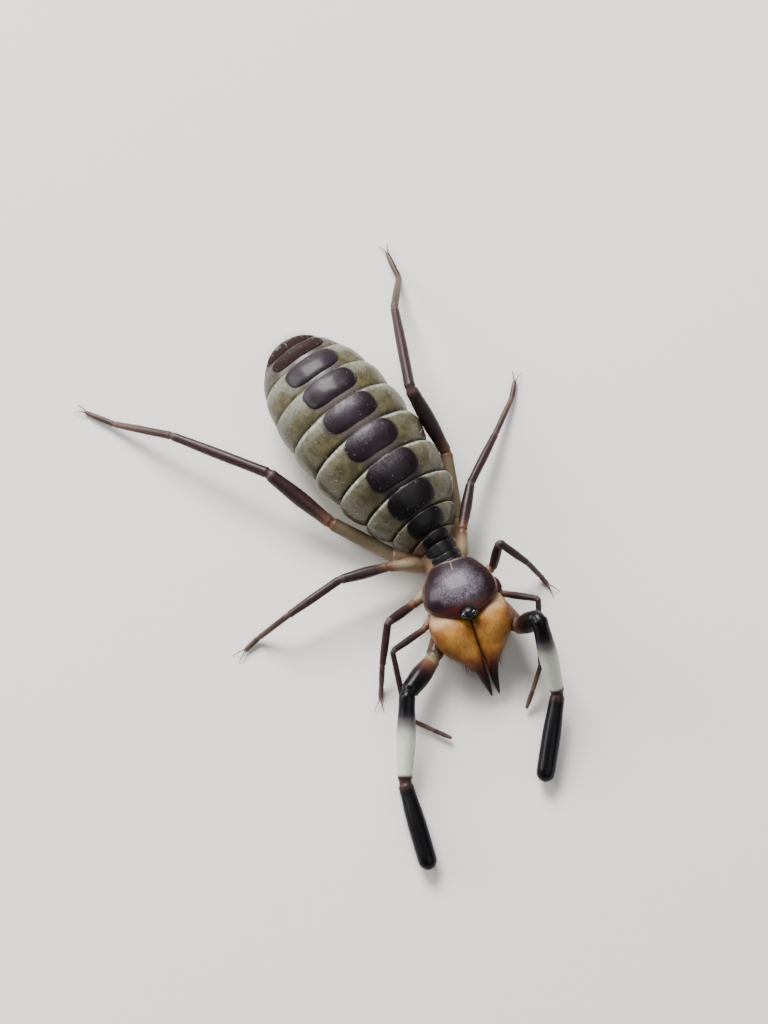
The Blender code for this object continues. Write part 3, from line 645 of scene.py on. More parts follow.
def turn_outward(mesh: Mesh) -> None:
    """Turns the faces of closed surfaces outward."""
    shape = bmesh.new()
    shape.from_mesh(mesh)
    bmesh.ops.recalc_face_normals(shape, faces=shape.faces)
    shape.to_mesh(mesh)
    shape.free()


def linked(name: str, data: bpy.types.ID) -> Object:
    """Makes an object of a mesh, a light or a camera and puts it in the scene."""
    made = bpy.data.objects.new(name, data)
    bpy.context.scene.collection.objects.link(made)
    return made


def as_evaluated(made: Object) -> Mesh:
    """Gives the plain mesh that an object's modifiers make, and removes the object."""
    graph = bpy.context.evaluated_depsgraph_get()
    result = bpy.data.meshes.new_from_object(made.evaluated_get(graph))
    made.modifiers.clear()
    bpy.data.objects.remove(made, do_unlink=True)
    return result


def finished(name: str, mesh: Mesh, finishes: Sequence[Finish], replaces: Sequence[str] = ()) -> Object:
    """Makes a piece of the animal from a mesh.

    Args:
        name: The piece's name.
        mesh: Its mesh, already in place.
        finishes: Its finishes, in the order of the mesh's material numbers, where it has none yet.
        replaces: The frame's nodes that it stands for.

    Returns:
        The piece, riding on the body.
    """
    for finish in finishes:
        mesh.materials.append(material_of(finish))
    made = linked(name, mesh)
    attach(made, BODY)
    if replaces:
        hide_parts(*replaces)
    mesh.calc_loop_triangles()
    LOG.info("%s: %d triangles", name, len(mesh.loop_triangles))
    return made


@cache
def material_of(finish: Finish) -> bpy.types.Material:
    """Makes a finish's material, once."""
    return finish.material()


PLEURA = PleuraFinish(
    "pleura_skin", roughness=0.4, coat=0.18, coat_roughness=0.18, specular=0.3, relief=0.026, glow=0.15,
)
PLATE = PlateFinish(
    "back_plate", roughness=0.38, coat=0.08, coat_roughness=0.15, specular=0.16, relief=0.012,
)
REAR_PLATE = PlateFinish("rear_plate", roughness=0.6, specular=0.12, relief=0.012)
SHIELD = ShieldFinish(
    "shield_cuticle", roughness=0.36, coat=0.12, coat_roughness=0.12, specular=0.18, relief=0.006,
)
PINCER = PincerFinish(
    "pincer_cuticle", roughness=0.5, coat=0.04, coat_roughness=0.3, specular=0.2, relief=0.022, glow=0.15,
)
LIMB = LimbFinish("limb_cuticle", roughness=0.42, coat=0.08, coat_roughness=0.2, specular=0.2, relief=0.014)
PALP = LimbFinish("palp_cuticle", roughness=0.34, coat=0.1, coat_roughness=0.14, specular=0.1, relief=0.014)
MEMBRANE = MembraneFinish("hip_membrane", roughness=0.4, coat=0.2, relief=0.03, glow=0.25)
EYE = PlainFinish("eye_lens", roughness=0.2, coat=0.4, coat_roughness=0.12, colour=tone(8, 7, 10))
CLAW = PlainFinish("claw_horn", roughness=0.3, coat=0.3, colour=tone(70, 34, 22))
PALE_HAIR = PlainFinish("pale_bristle", roughness=0.5, colour=tone(206, 196, 178), cloud_size=1.5)
RED_HAIR = PlainFinish("red_bristle", roughness=0.4, colour=tone(104, 42, 16), cloud_size=1.5)
BLACK_HAIR = PlainFinish(
    "black_velvet", roughness=0.5, specular=0.06, colour=tone(10, 9, 15), cloud_size=1.5,
)
BROWN_HAIR = PlainFinish("brown_bristle", roughness=0.5, colour=tone(96, 66, 50), cloud_size=1.5)
FLOOR = PlainFinish("pale_floor", roughness=0.9, colour=tone(222, 219, 212), shade=0.97, cloud_size=30.0)


@dataclass(frozen=True)
class Animal:
    """Where the animal's own frame stands in the solid frame."""

    head_rear: Vector = Vector((-0.03, -1.56, 0.0))
    head_pivot: float = 2.2
    head_yaw: float = math.radians(-14)
    head_roll: float = math.radians(5)
    tubercle: Vector = Vector((0.05, -3.84, 3.86))
    eye_forward: float = 0.1
    eye_rise: float = 0.2

    def head(self) -> Matrix:
        """Gives the placement of the head, turned and rolled."""
        pivot = Matrix.Translation((0.0, 0.0, self.head_pivot))
        turn = Matrix.Rotation(self.head_yaw, 4, "Z") @ Matrix.Rotation(-self.head_roll, 4, "Y")
        return Matrix.Translation(self.head_rear) @ pivot @ turn @ pivot.inverted()

    @property
    def shift(self) -> Array:
        """Gives the way from the animal's frame to the solid frame, from the solid eyes."""
        middles = [(low + high) / 2 for low, high in (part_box("eye_left"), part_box("eye_right"))]
        seen = (middles[0] + middles[1]) / 2 / MM
        between = self.tubercle + Vector((0.0, -self.eye_forward, self.eye_rise))
        return np.array(seen - self.head() @ between)


ANIMAL = Animal()


@dataclass
class Abdomen:
    """The abdomen: ten soft segments from the waist back, with their dark plates."""

    waist: Vector = Vector((-0.2, -0.25, 0.0))
    yaw: float = math.radians(6.2)
    lengths: Numbers = (0.75, 1.25, 1.74, 2.06, 2.26, 2.22, 2.1, 1.84, 1.28, 1.3)
    half_width: float = 3.82
    flattening: float = 0.88
    axis_height: float = 3.0
    front_drop: float = 0.8
    rear_drop: float = 0.3
    narrowing: float = 0.7
    rear_roundness: float = 0.555
    left_swell: float = 0.42
    left_swell_place: float = 3.1
    plate_half_widths: Numbers = (0.85, 1.2, 1.5, 1.66, 1.68, 1.7, 1.72, 1.74, 1.76, 1.85)
    plate_fronts: Numbers = (0.05, 0.08, 0.1, 0.15, 0.19, 0.19, 0.18, 0.15, 0.2, 0.06)
    plate_rear: float = 0.96
    plate_corners: float = 3.4
    plate_dome: float = 0.085
    plate_root: float = 0.09
    first_rear_plate: int = 8
    bulges: Numbers = (0.2, 0.3, 0.36, 0.38, 0.34, 0.22, 0.1, 0.05, 0.03, 0.03)
    flank_fold: float = 1.95
    belly_turn: float = 1.9
    floor_softness: float = 0.02
    crease_width: float = 0.085
    slit_depth: float = 0.05
    anus: float = 16.2
    cleft: float = 1.55
    breathing_slits: Numbers = (3.45, 5.45)
    rows: int = 22
    columns: int = 144
    plate_rows: int = 26
    plate_columns: int = 44

    @property
    def length(self) -> float:
        """Gives the abdomen's whole length."""
        return sum(self.lengths)

    @property
    def starts(self) -> Array:
        """Gives where each segment starts, and where the last one ends."""
        return np.concatenate([[0.0], np.cumsum(self.lengths)])

    def segment(self, along: Array) -> tuple[Array, Array, Array]:
        """Gives the number and the length of the segment at each place, and the share of it there."""
        last = len(self.lengths) - 1
        index = np.clip(np.searchsorted(self.starts, along, side="right") - 1, 0, last)
        lengths = np.array(self.lengths)[index]
        return index, lengths, (along - self.starts[index]) / lengths

    def size(self, along: Array) -> tuple[Array, Array]:
        """Gives the half width and the axis height at distances from the waist."""
        share = along / self.length
        narrow = self.narrowing * held((0.5 - share) / 0.5) ** 2.2
        full = 1.0 - held((share - 0.5) / 0.5) ** 2.9
        half = self.half_width * (1.0 - narrow) * np.maximum(full, 0.0) ** self.rear_roundness
        drop = self.front_drop * (1.0 - eased(share / 0.4)) + self.rear_drop * eased((share - 0.5) / 0.5)
        return half, self.axis_height - drop

    def surface(self, along: Array, angle: Array, lift: Array | float = 0.0) -> Array:
        """Places points on the skin.

        Args:
            along: Distances from the waist.
            angle: Turns from the top of the back, positive to the animal's left.
            lift: How far the points stand off the skin.

        Returns:
            The points in the animal's frame.
        """
        half, height = self.size(along)
        index, lengths, share = self.segment(along)
        from_crease = np.minimum(share, 1.0 - share) * lengths
        pillow = 0.65 * (1.0 - np.abs(2.0 * share - 1.0) ** 2.6)
        pillow = pillow + 0.35 * eased(share / 0.75) * (1.0 - eased((share - 0.93) / 0.07))
        side = np.abs(np.sin(angle))
        bulge = np.array(self.bulges)[index] * (0.14 + 0.86 * side ** 1.5)
        fold = 0.14 * hump(np.abs(angle), self.flank_fold, 0.13) * eased(along / 2.0)
        groove = (0.03 + 0.12 * side) * hump(from_crease, 0.0, self.crease_width)
        groove = groove * (1.0 - 0.8 * eased((along - 8.0) / 3.0))
        out = lift - bulge * (1.0 - pillow) * 0.9 + 0.06 * pillow - groove - fold
        out = out - self.slit_depth * self.slits(along, angle)
        taper = np.minimum(half / 1.2, 1.0)
        out = np.where(np.abs(out) > 0, out * taper, out)
        swell = self.left_swell * hump(along, self.left_swell_place, 1.8)
        swell = swell * np.maximum(np.sin(angle), 0.0) ** 5
        across = (half + out + swell) * np.sin(angle)
        up = height + (half * self.flattening + out) * np.cos(angle)
        up = 0.5 * (up + np.sqrt(up ** 2 + self.floor_softness))
        points = np.stack([across, along + np.zeros_like(angle), up], axis=-1)
        place = Matrix.Translation(self.waist) @ Matrix.Rotation(self.yaw, 4, "Z")
        return transformed(points, place)

    def slits(self, along: Array, angle: Array) -> Array:
        """Gives the slits, which are sunk and painted with shade: the breathing slits and the genital cleft
        below, the anus behind.
        """
        half, _ = self.size(along)
        low = np.abs(angle) > math.pi / 2
        across = np.abs(half * np.sin(angle))
        anus = hump(across, 0.0, 0.045) * eased((along - self.anus) / 0.15) * low
        cleft = hump(across, 0.0, 0.06) * hump(along, self.cleft, 0.3, 4) * low
        breath = hump(across, 0.75, 0.3, 4) * low
        rows = sum(hump(along, row, 0.1) for row in self.breathing_slits)
        return held(anus + cleft + breath * rows)

    def plate_angle(self, index: int, along: Array) -> Array:
        """Gives the turn at the side edge of a segment's plate."""
        half = np.maximum(self.size(along)[0], 0.3)
        return np.arcsin(np.minimum(self.plate_half_widths[index] / half, 0.93))

    def add_skin(self, shape: Shape) -> None:
        """Lofts the soft skin, with its zones for the finish."""
        turn = 0.5 - 0.5 * np.cos(np.linspace(0.0, math.pi, self.rows + 1))
        places = np.concatenate([s + turn[:-1] * n for s, n in zip(self.starts, self.lengths)])
        places = np.append(places, self.length - 0.004)
        places[0] = 0.02
        along, angle = grid(places, np.linspace(-math.pi, math.pi, self.columns, endpoint=False))
        index, lengths, share = self.segment(along)
        half, _ = self.size(along)
        points = self.surface(along, angle)
        points += (0.02 * ripple(points, 1.4, 3))[..., None] * np.array([1.0, 0.3, 0.4])
        across = np.abs(half * np.sin(angle))
        turned = np.abs(angle)
        on_back = (turned < math.pi / 2).astype(float)
        strip = (1.0 - eased((across - np.array(self.plate_half_widths)[index] * 0.72) / 0.4)) * on_back
        rear = eased((along - 8.5) / 3.0)
        behind = eased((share - 0.4) / 0.3) * (1.0 - eased((share - 0.97) / 0.03)) * (0.3 + 0.7 * rear)
        # Painted shade in the creases between the pillows.
        crease = hump(np.minimum(share, 1.0 - share) * lengths, 0.0, 0.1)
        # A painted highlight along each pillow's rear lip, partly the paler thin cuticle there.
        lip = hump(share, 0.9, 0.045) * eased((1.5 - turned) / 0.5) * eased((along - 1.5) / 1.5)
        # Painted shade: darker olive low on the flanks, above the pale belly.
        low = eased((turned - 0.95) / 0.65) * (1.0 - eased((turned - self.belly_turn) / 0.3))
        shape.loft(points, {
            "strip": strip,
            "sheen": behind * eased((self.belly_turn - turned) / 0.8) * 0.8,
            "low": low,
            "belly": eased((turned - self.belly_turn) / 0.25),
            "crease": crease * (1.0 - 0.8 * strip) * (1.0 - 0.85 * rear),
            "dusk": strip * (1.0 - eased((along - 3.5) / 3.5)),
            "tail": eased((along - 13.9) / 1.1) * on_back,
            # Painted shadow round the plates.
            "halo": self.halo(along, angle) * on_back,
            "lip": lip * (1.0 - 0.7 * eased((along - 9.0) / 3.0)),
            "waist": 1.0 - eased((along - 0.45) / 0.6),
            # Painted shade in the slits.
            "slit": self.slits(along, angle),
            "root_place": unwrap_place(0, along / self.length, angle / math.tau + 0.5),
            "lie": self.lie(points),
        })

    def halo(self, along: Array, angle: Array) -> Array:
        """Gives the painted shadow under and just round the plates, which also blends their dark into the
        skin, from 0 to 1.
        """
        index, lengths, _ = self.segment(along)
        low = self.starts[index] + lengths * np.array(self.plate_fronts)[index]
        high = self.starts[index] + lengths * self.plate_rear
        half, _ = self.size(along)
        across = np.abs(half * np.sin(angle)) / np.array(self.plate_half_widths)[index]
        down = np.abs(along - (low + high) / 2) / ((high - low) / 2)
        power = self.plate_corners
        return 1.0 - eased(((across ** power + down ** power) ** (1 / power) - 1.0) / 0.1)

    def lie(self, points: Array) -> Array:
        """Gives the way that the hairs lie: to the rear and a little down."""
        way = np.array(Matrix.Rotation(self.yaw, 3, "Z") @ Vector((0.0, 1.0, -0.1)))
        return np.broadcast_to(way, points.shape).copy()

    def plates(self) -> Object:
        """Makes the ten plates of the back, each a thin domed shell with rounded corners."""
        shape = Shape()
        for index in range(len(self.lengths)):
            self._add_plate(shape, index)
        return finished("back_plates", shape.mesh("back_plates"), [PLATE, REAR_PLATE])

    def _add_plate(self, shape: Shape, index: int) -> None:
        """Adds the plate of one segment as a loft of flat, closed rings."""
        start, length = self.starts[index], self.lengths[index]
        front, reach = self.plate_fronts[index], self.plate_rear
        a, b, below = shell(self.plate_rows, self.plate_columns)
        middle = start + length * (front + reach) / 2
        half_length = length * (reach - front) / 2
        along = middle + half_length * a * (1.12 - 0.38 * np.abs(b) ** 4.5)
        edge = self.plate_angle(index, along) * 1.09 * (1.0 - 0.14 * np.abs(a) ** 3)
        rim = np.maximum(np.abs(a), np.abs(b))
        dome = self.plate_dome * (1.0 - rim ** 3) - 0.03 * eased((rim - 0.88) / 0.12) + 0.004
        dome = dome + 0.02 * hump(a, 0.87, 0.06) * (1.0 - b ** 8)
        points = self.surface(along, edge * b, np.where(below, -self.plate_root, dome))
        points += (0.008 * ripple(points, 0.7, 11))[..., None] * np.array([0.0, 0.0, 1.0])
        # A painted reflection: grey haze over the rear middle of each plate, none at the front and fainter
        # toward the tail.
        haze = eased((a + 0.35) / 0.9) * np.maximum(1.0 - b ** 2, 0.0) ** 2 * eased((along - 2.5) / 3.0)
        shape.loft(points, {
            "middle": 1.0 - rim ** 2,
            "front": (1.0 - eased((along - 2.5) / 4.5)) * 0.9 + 0.1 * eased(-a),
            "rear": eased((along - 13.4) / 1.5),
            "haze": haze * (1.0 - 0.6 * eased((along - 9.0) / 3.0)),
            "root_place": unwrap_place(0, along / self.length, edge * b / math.tau + 0.5),
            "lie": self.lie(points),
            "growth": np.where(below, 0.0, 1.0),
        }, int(index >= self.first_rear_plate))


UNWRAP_MARGIN = 0.01
ABDOMEN_STRIP = 0.4
STRIP_STEP = 0.042
STRIP_HEIGHT = 0.038


def unwrap_place(strip: int, along: Array, around: Array) -> Array:
    """Gives a point's place on the flat unwrap, where each surface has a strip of its own.

    Args:
        strip: The surface: 0 the abdomen, 1 the shield, 2 and 3 the pincers, then the limbs.
        along: How far along its surface the point lies, from 0 to 1.
        around: How far round it, from 0 to 1.

    Returns:
        The places, with a third value that stays 0.
    """
    low, height = 0.0, ABDOMEN_STRIP
    if strip > 0:
        low, height = ABDOMEN_STRIP + (strip - 1) * STRIP_STEP, STRIP_HEIGHT
    flat = np.broadcast_to(along, np.broadcast_shapes(np.shape(along), np.shape(around)))
    across = UNWRAP_MARGIN + (1.0 - 2.0 * UNWRAP_MARGIN) * flat
    return np.stack([across, low + height * around, np.zeros_like(flat)], axis=-1)


@dataclass(frozen=True)
class Length:
    """One length of a limb: how long, how thick at its start, middle and end, and its tones."""

    reach: float
    start: float
    middle: float
    end: float
    tones: Stops


@dataclass(frozen=True)
class Stance:
    """How one limb is held: its root, then the heading and pitch of each length in degrees."""

    root: tuple[float, float, float]
    headings: Numbers
    pitches: Numbers
    stretch: float = 1.0


TAN = tone(128, 112, 87)
DULL_TAN = tone(100, 86, 66)
AMBER_BROWN = tone(96, 65, 47)
PLUM = tone(50, 30, 31)
DARK_PLUM = tone(38, 23, 26)
BROWN = tone(52, 36, 34)
PALE_BROWN = tone(92, 72, 62)
BLACK = tone(7, 6, 10)
WHITE = tone(200, 202, 188)
SMOKE = tone(46, 35, 44)
ASH = tone(132, 130, 124)
JOINT = tone(74, 56, 51)

PLAIN_TIBIA = ((0.0, DARK_PLUM), (0.5, PLUM), (0.8, BROWN), (0.96, BROWN), (1.0, JOINT))
PLAIN_FOOT = ((0.0, JOINT), (0.05, BROWN), (1.0, PALE_BROWN))
PALE_FEMUR = ((0.0, TAN), (0.7, TAN), (1.0, AMBER_BROWN))
PALP_PATELLA = ((0.0, TAN), (0.22, AMBER_BROWN), (0.45, DARK_PLUM), (0.7, BLACK), (1.0, BLACK))
PALP_TIBIA = (
    (0.0, BLACK), (0.2, BLACK), (0.3, SMOKE), (0.4, ASH), (0.5, WHITE), (0.94, WHITE), (0.98, TAN),
    (1.0, BROWN),
)
DARK_PATELLA = ((0.0, AMBER_BROWN), (0.25, PLUM), (0.6, DARK_PLUM), (0.95, DARK_PLUM), (1.0, JOINT))
LAST_FEMUR = ((0.0, TAN), (0.35, TAN), (0.6, DULL_TAN), (0.9, DULL_TAN), (1.0, AMBER_BROWN))


class Kind(Enum):
    """The kinds of limb, with their lengths from the body outward."""

    PALP = (
        Length(2.3, 0.48, 0.54, 0.52, ((0.0, TAN), (0.6, AMBER_BROWN), (1.0, BROWN))),
        Length(3.1, 0.5, 0.66, 0.56, PALP_PATELLA),
        Length(5.4, 0.48, 0.6, 0.44, PALP_TIBIA),
        Length(5.5, 0.44, 0.57, 0.56, ((0.0, BROWN), (0.03, BLACK), (1.0, BLACK))),
    )
    LEG1 = (
        Length(1.3, 0.24, 0.25, 0.23, PALE_FEMUR),
        Length(2.7, 0.2, 0.23, 0.19, DARK_PATELLA),
        Length(4.35, 0.17, 0.19, 0.16, PLAIN_TIBIA),
        Length(1.75, 0.15, 0.15, 0.14, PLAIN_FOOT),
        Length(1.3, 0.14, 0.15, 0.11, PLAIN_FOOT),
    )
    LEG2 = (
        Length(1.3, 0.3, 0.32, 0.3, PALE_FEMUR),
        Length(2.2, 0.27, 0.31, 0.26, DARK_PATELLA),
        Length(2.8, 0.24, 0.25, 0.2, PLAIN_TIBIA),
        Length(1.5, 0.18, 0.18, 0.16, PLAIN_FOOT),
        Length(0.85, 0.16, 0.16, 0.13, PLAIN_FOOT),
    )
    LEG3 = (
        Length(1.5, 0.33, 0.35, 0.33, PALE_FEMUR),
        Length(3.3, 0.3, 0.36, 0.29, DARK_PATELLA),
        Length(4.1, 0.26, 0.28, 0.22, PLAIN_TIBIA),
        Length(2.9, 0.19, 0.19, 0.17, PLAIN_FOOT),
        Length(1.25, 0.17, 0.17, 0.14, PLAIN_FOOT),
    )
    LEG4 = (
        Length(4.9, 0.4, 0.45, 0.42, LAST_FEMUR),
        Length(5.0, 0.38, 0.5, 0.4, DARK_PATELLA),
        Length(6.9, 0.33, 0.34, 0.27, PLAIN_TIBIA),
        Length(4.3, 0.25, 0.25, 0.2, PLAIN_FOOT),
        Length(2.1, 0.18, 0.18, 0.14, PLAIN_FOOT),
    )


STANCES = {
    (Kind.PALP, "left"): Stance((1.35, -5.1, 1.25), (3, 41, -10.5, -39.5), (27.5, 68.5, -44.5, -6.5)),
    (Kind.PALP, "right"): Stance((-2.4, -4.5, 1.15), (-45.5, -63, -31.5, -14), (10, 16, -14.5, -2.5)),
    (Kind.LEG1, "left"): Stance(
        (1.05, -3.75, 2.2), (36.5, 41, -27.5, -48.5, -51), (-8.5, 28.5, -23, -25.5, -25), 0.94,
    ),
    (Kind.LEG1, "right"): Stance(
        (-2.45, -3.65, 1.9), (-62, -79.5, -16, 34.5, 35.5), (1, 17.5, -32.5, 0, 0.5),
    ),
    (Kind.LEG2, "left"): Stance(
        (0.9, -2.95, 1.65), (96, 129.5, 40.5, 31.5, 12.5), (-2, 63, -45.5, -51.5, 0),
    ),
    (Kind.LEG2, "right"): Stance(
        (-2.3, -2.25, 1.75), (-75, -77, -38, -33.5, -34.5), (11.5, 24, -31, -50, 0),
    ),
    (Kind.LEG3, "left"): Stance(
        (0.9, -1.3, 2.2), (151.5, 140, 126, 128, 139.5), (3.5, -6.5, -13, -12.5, 0), 1.02,
    ),
    (Kind.LEG3, "right"): Stance(
        (-2.3, -0.3, 2.25), (-114, -102, -85.5, -95.5, -77.5), (2.5, 6, -6.5, -42.5, 0), 0.95,
    ),
    (Kind.LEG4, "left"): Stance(
        (1.75, 0.7, 1.05), (159, -172.5, 158.5, 144.5, 172), (12.5, 42, -19, -39.5, 0),
    ),
    (Kind.LEG4, "right"): Stance(
        (-2.45, 0.7, 1.05), (-146.5, -156.5, -145, -140, -146), (8.5, 13, -8, -20.5, 0),
    ),
}
LENGTH_SHARES = (0.03, 0.05, 0.08, 0.12, 0.2, 0.32, 0.45, 0.58, 0.7, 0.8, 0.88, 0.92, 0.95, 0.97)
TIP_TURNS = (0.35, 0.7, 1.0, 1.25, 1.45)
BEND_SHARES = (0.1, 0.2, 0.28, 0.35, 0.42, 0.5, 0.58, 0.64, 0.7, 0.8, 0.9)
PALP_NUMBER = 1.0
LEG_NUMBER = 2.0


@dataclass
class Line:
    """A limb's line of points, with the thickness, the tone and the way of the hairs at each."""

    points: list[Array] = field(default_factory=list)
    widths: list[float] = field(default_factory=list)
    tones: list[Array] = field(default_factory=list)
    lies: list[Array] = field(default_factory=list)

    def add(self, point: Array, width: float, colour: Array, lie: Array) -> None:
        """Adds one point."""
        self.points.append(point)
        self.widths.append(width)
        self.tones.append(colour)
        self.lies.append(lie)


@dataclass
class Limb:
    """One palp or leg, as a line through its joints."""

    kind: Kind
    side: str
    strip: int = 0
    joints: Array = field(init=False)
    spans: Array = field(init=False)
    ways: Array = field(init=False)
    foot_height: float = 0.21
    sole: float = 0.25
    root_sink: float = 0.9
    hip_height: float = 1.05
    last_of_leg: int = 4

    def __post_init__(self) -> None:
        """Works out the root, the joints and the tip. A leg's last length comes down to the floor."""
        stance = STANCES[self.kind, self.side]
        points = [np.array(stance.root)]
        for index, length in enumerate(self.kind.value):
            reach = length.reach * stance.stretch
            turn, rise = math.radians(stance.headings[index]), math.radians(stance.pitches[index])
            if rise == 0 and index == self.last_of_leg:
                rise = math.asin((self.foot_height - points[-1][2]) / (reach - self.sole))
            points.append(points[-1] + np.array(direction(turn, rise)) * reach)
        self.joints = np.array(points)
        ways = np.diff(self.joints, axis=0)
        self.spans = np.linalg.norm(ways, axis=1)
        self.ways = ways / self.spans[:, None]

    def hip(self) -> Array:
        """Gives where the limb's hip starts, beside the body's middle line."""
        root = self.joints[0]
        side = 1.0 if self.side == "left" else -1.0
        if root[1] < -2.0:
            return transformed(np.array([side * 0.32, root[1] * 0.9 + 1.9, self.hip_height]), ANIMAL.head())
        back = -0.6 if self.kind is Kind.LEG4 else 0.0
        return np.array([-0.2 + side * 0.3, root[1] * 0.72 - 0.4 + back, self.hip_height])

    def add_path(self, shape: Shape) -> None:
        """Adds the limb's line, rounded at its joints, with its thickness and tones."""
        line = Line()
        last = len(self.kind.value) - 1
        for index in range(last):
            self._add_length(line, index)
            self._add_bend(line, index)
        self._add_length(line, last)
        end, way = self.kind.value[last], self.ways[last]
        for turn in TIP_TURNS:
            point = self.joints[-1] - way * end.end * (1.0 - math.sin(turn))
            line.add(point, end.end * math.cos(turn), np.array(end.tones[-1][1]), way)
        count = len(line.points)
        number = PALP_NUMBER if self.kind is Kind.PALP else LEG_NUMBER
        shape.path(np.array(line.points), {
            "half_width": np.array(line.widths),
            "tone": np.array(line.tones),
            "lie": np.array(line.lies),
            "strip_low": np.full(count, unwrap_place(self.strip, np.zeros(1), np.zeros(1))[0, 1]),
            "run": np.linspace(0.0, 1.0, count),
            "limb": np.full(count, number),
        })

    def _add_length(self, line: Line, index: int) -> None:
        """Adds the straight run of one length between the bends at its ends."""
        length, knee = self.kind.value[index], self.joints[index]
        first, final = index == 0, index == len(self.kind.value) - 1
        inward = unit(self.hip() - self.joints[0])
        before = self.root_sink if first else 0.0
        span = self.spans[index] + before
        bend_before = 0.0 if first else self._rounding(length, span)
        bend_after = length.end if final else self._rounding(length, span)
        for share in LENGTH_SHARES:
            reach = bend_before + (span - bend_before - bend_after) * share
            way = self.ways[index] if reach > before else -inward
            rounded = 0.5 + 0.5 * float(eased(reach / 0.6)) if first else 1.0
            width = self._thickness(length, reach / span, first, final) * rounded
            colour = along_stops(np.array(reach / span), length.tones)
            line.add(knee + way * (reach - before), width, colour, self.ways[index])

    def _add_bend(self, line: Line, index: int) -> None:
        """Adds the rounded bend between one length and the next, pinched at the joint."""
        length, other = self.kind.value[index:index + 2]
        way, onward = self.ways[index:index + 2]
        knee = self.joints[index + 1]
        sunk = self.root_sink if index == 0 else 0.0
        start = knee - way * self._rounding(length, self.spans[index] + sunk)
        end = knee + onward * self._rounding(other, self.spans[index + 1])
        for mix in BEND_SHARES:
            point = start * (1 - mix) ** 2 + knee * 2 * mix * (1 - mix) + end * mix ** 2
            pinch = 1.04 - 0.15 * float(eased((mix - 0.2) / 0.12) * (1.0 - eased((mix - 0.58) / 0.14)))
            width = (length.end * (1 - mix) + other.start * mix) * pinch
            colour = np.array(length.tones[-1][1]) * (1 - mix) + np.array(other.tones[0][1]) * mix
            line.add(point, width, colour, way * (1 - mix) + onward * mix)

    def _rounding(self, length: Length, span: float) -> float:
        """Gives how far before or after a joint its rounding starts."""
        return min(0.9 * max(length.start, length.end), 0.3 * span)

    def _thickness(self, length: Length, share: float, first: bool, final: bool) -> float:
        """Gives the half thickness along a length, with a slight flare before its joint."""
        if share < 0.5:
            width = length.start + (length.middle - length.start) * float(eased(share / 0.5))
        else:
            width = length.middle + (length.end - length.middle) * float(eased((share - 0.5) / 0.5))
        flare = 0.0 if final else 0.04 * hump(share, 0.94, 0.035)
        swell = 0.0 if first else 0.03 * hump(share, 0.08, 0.04)
        return width * (1.0 + flare + swell)


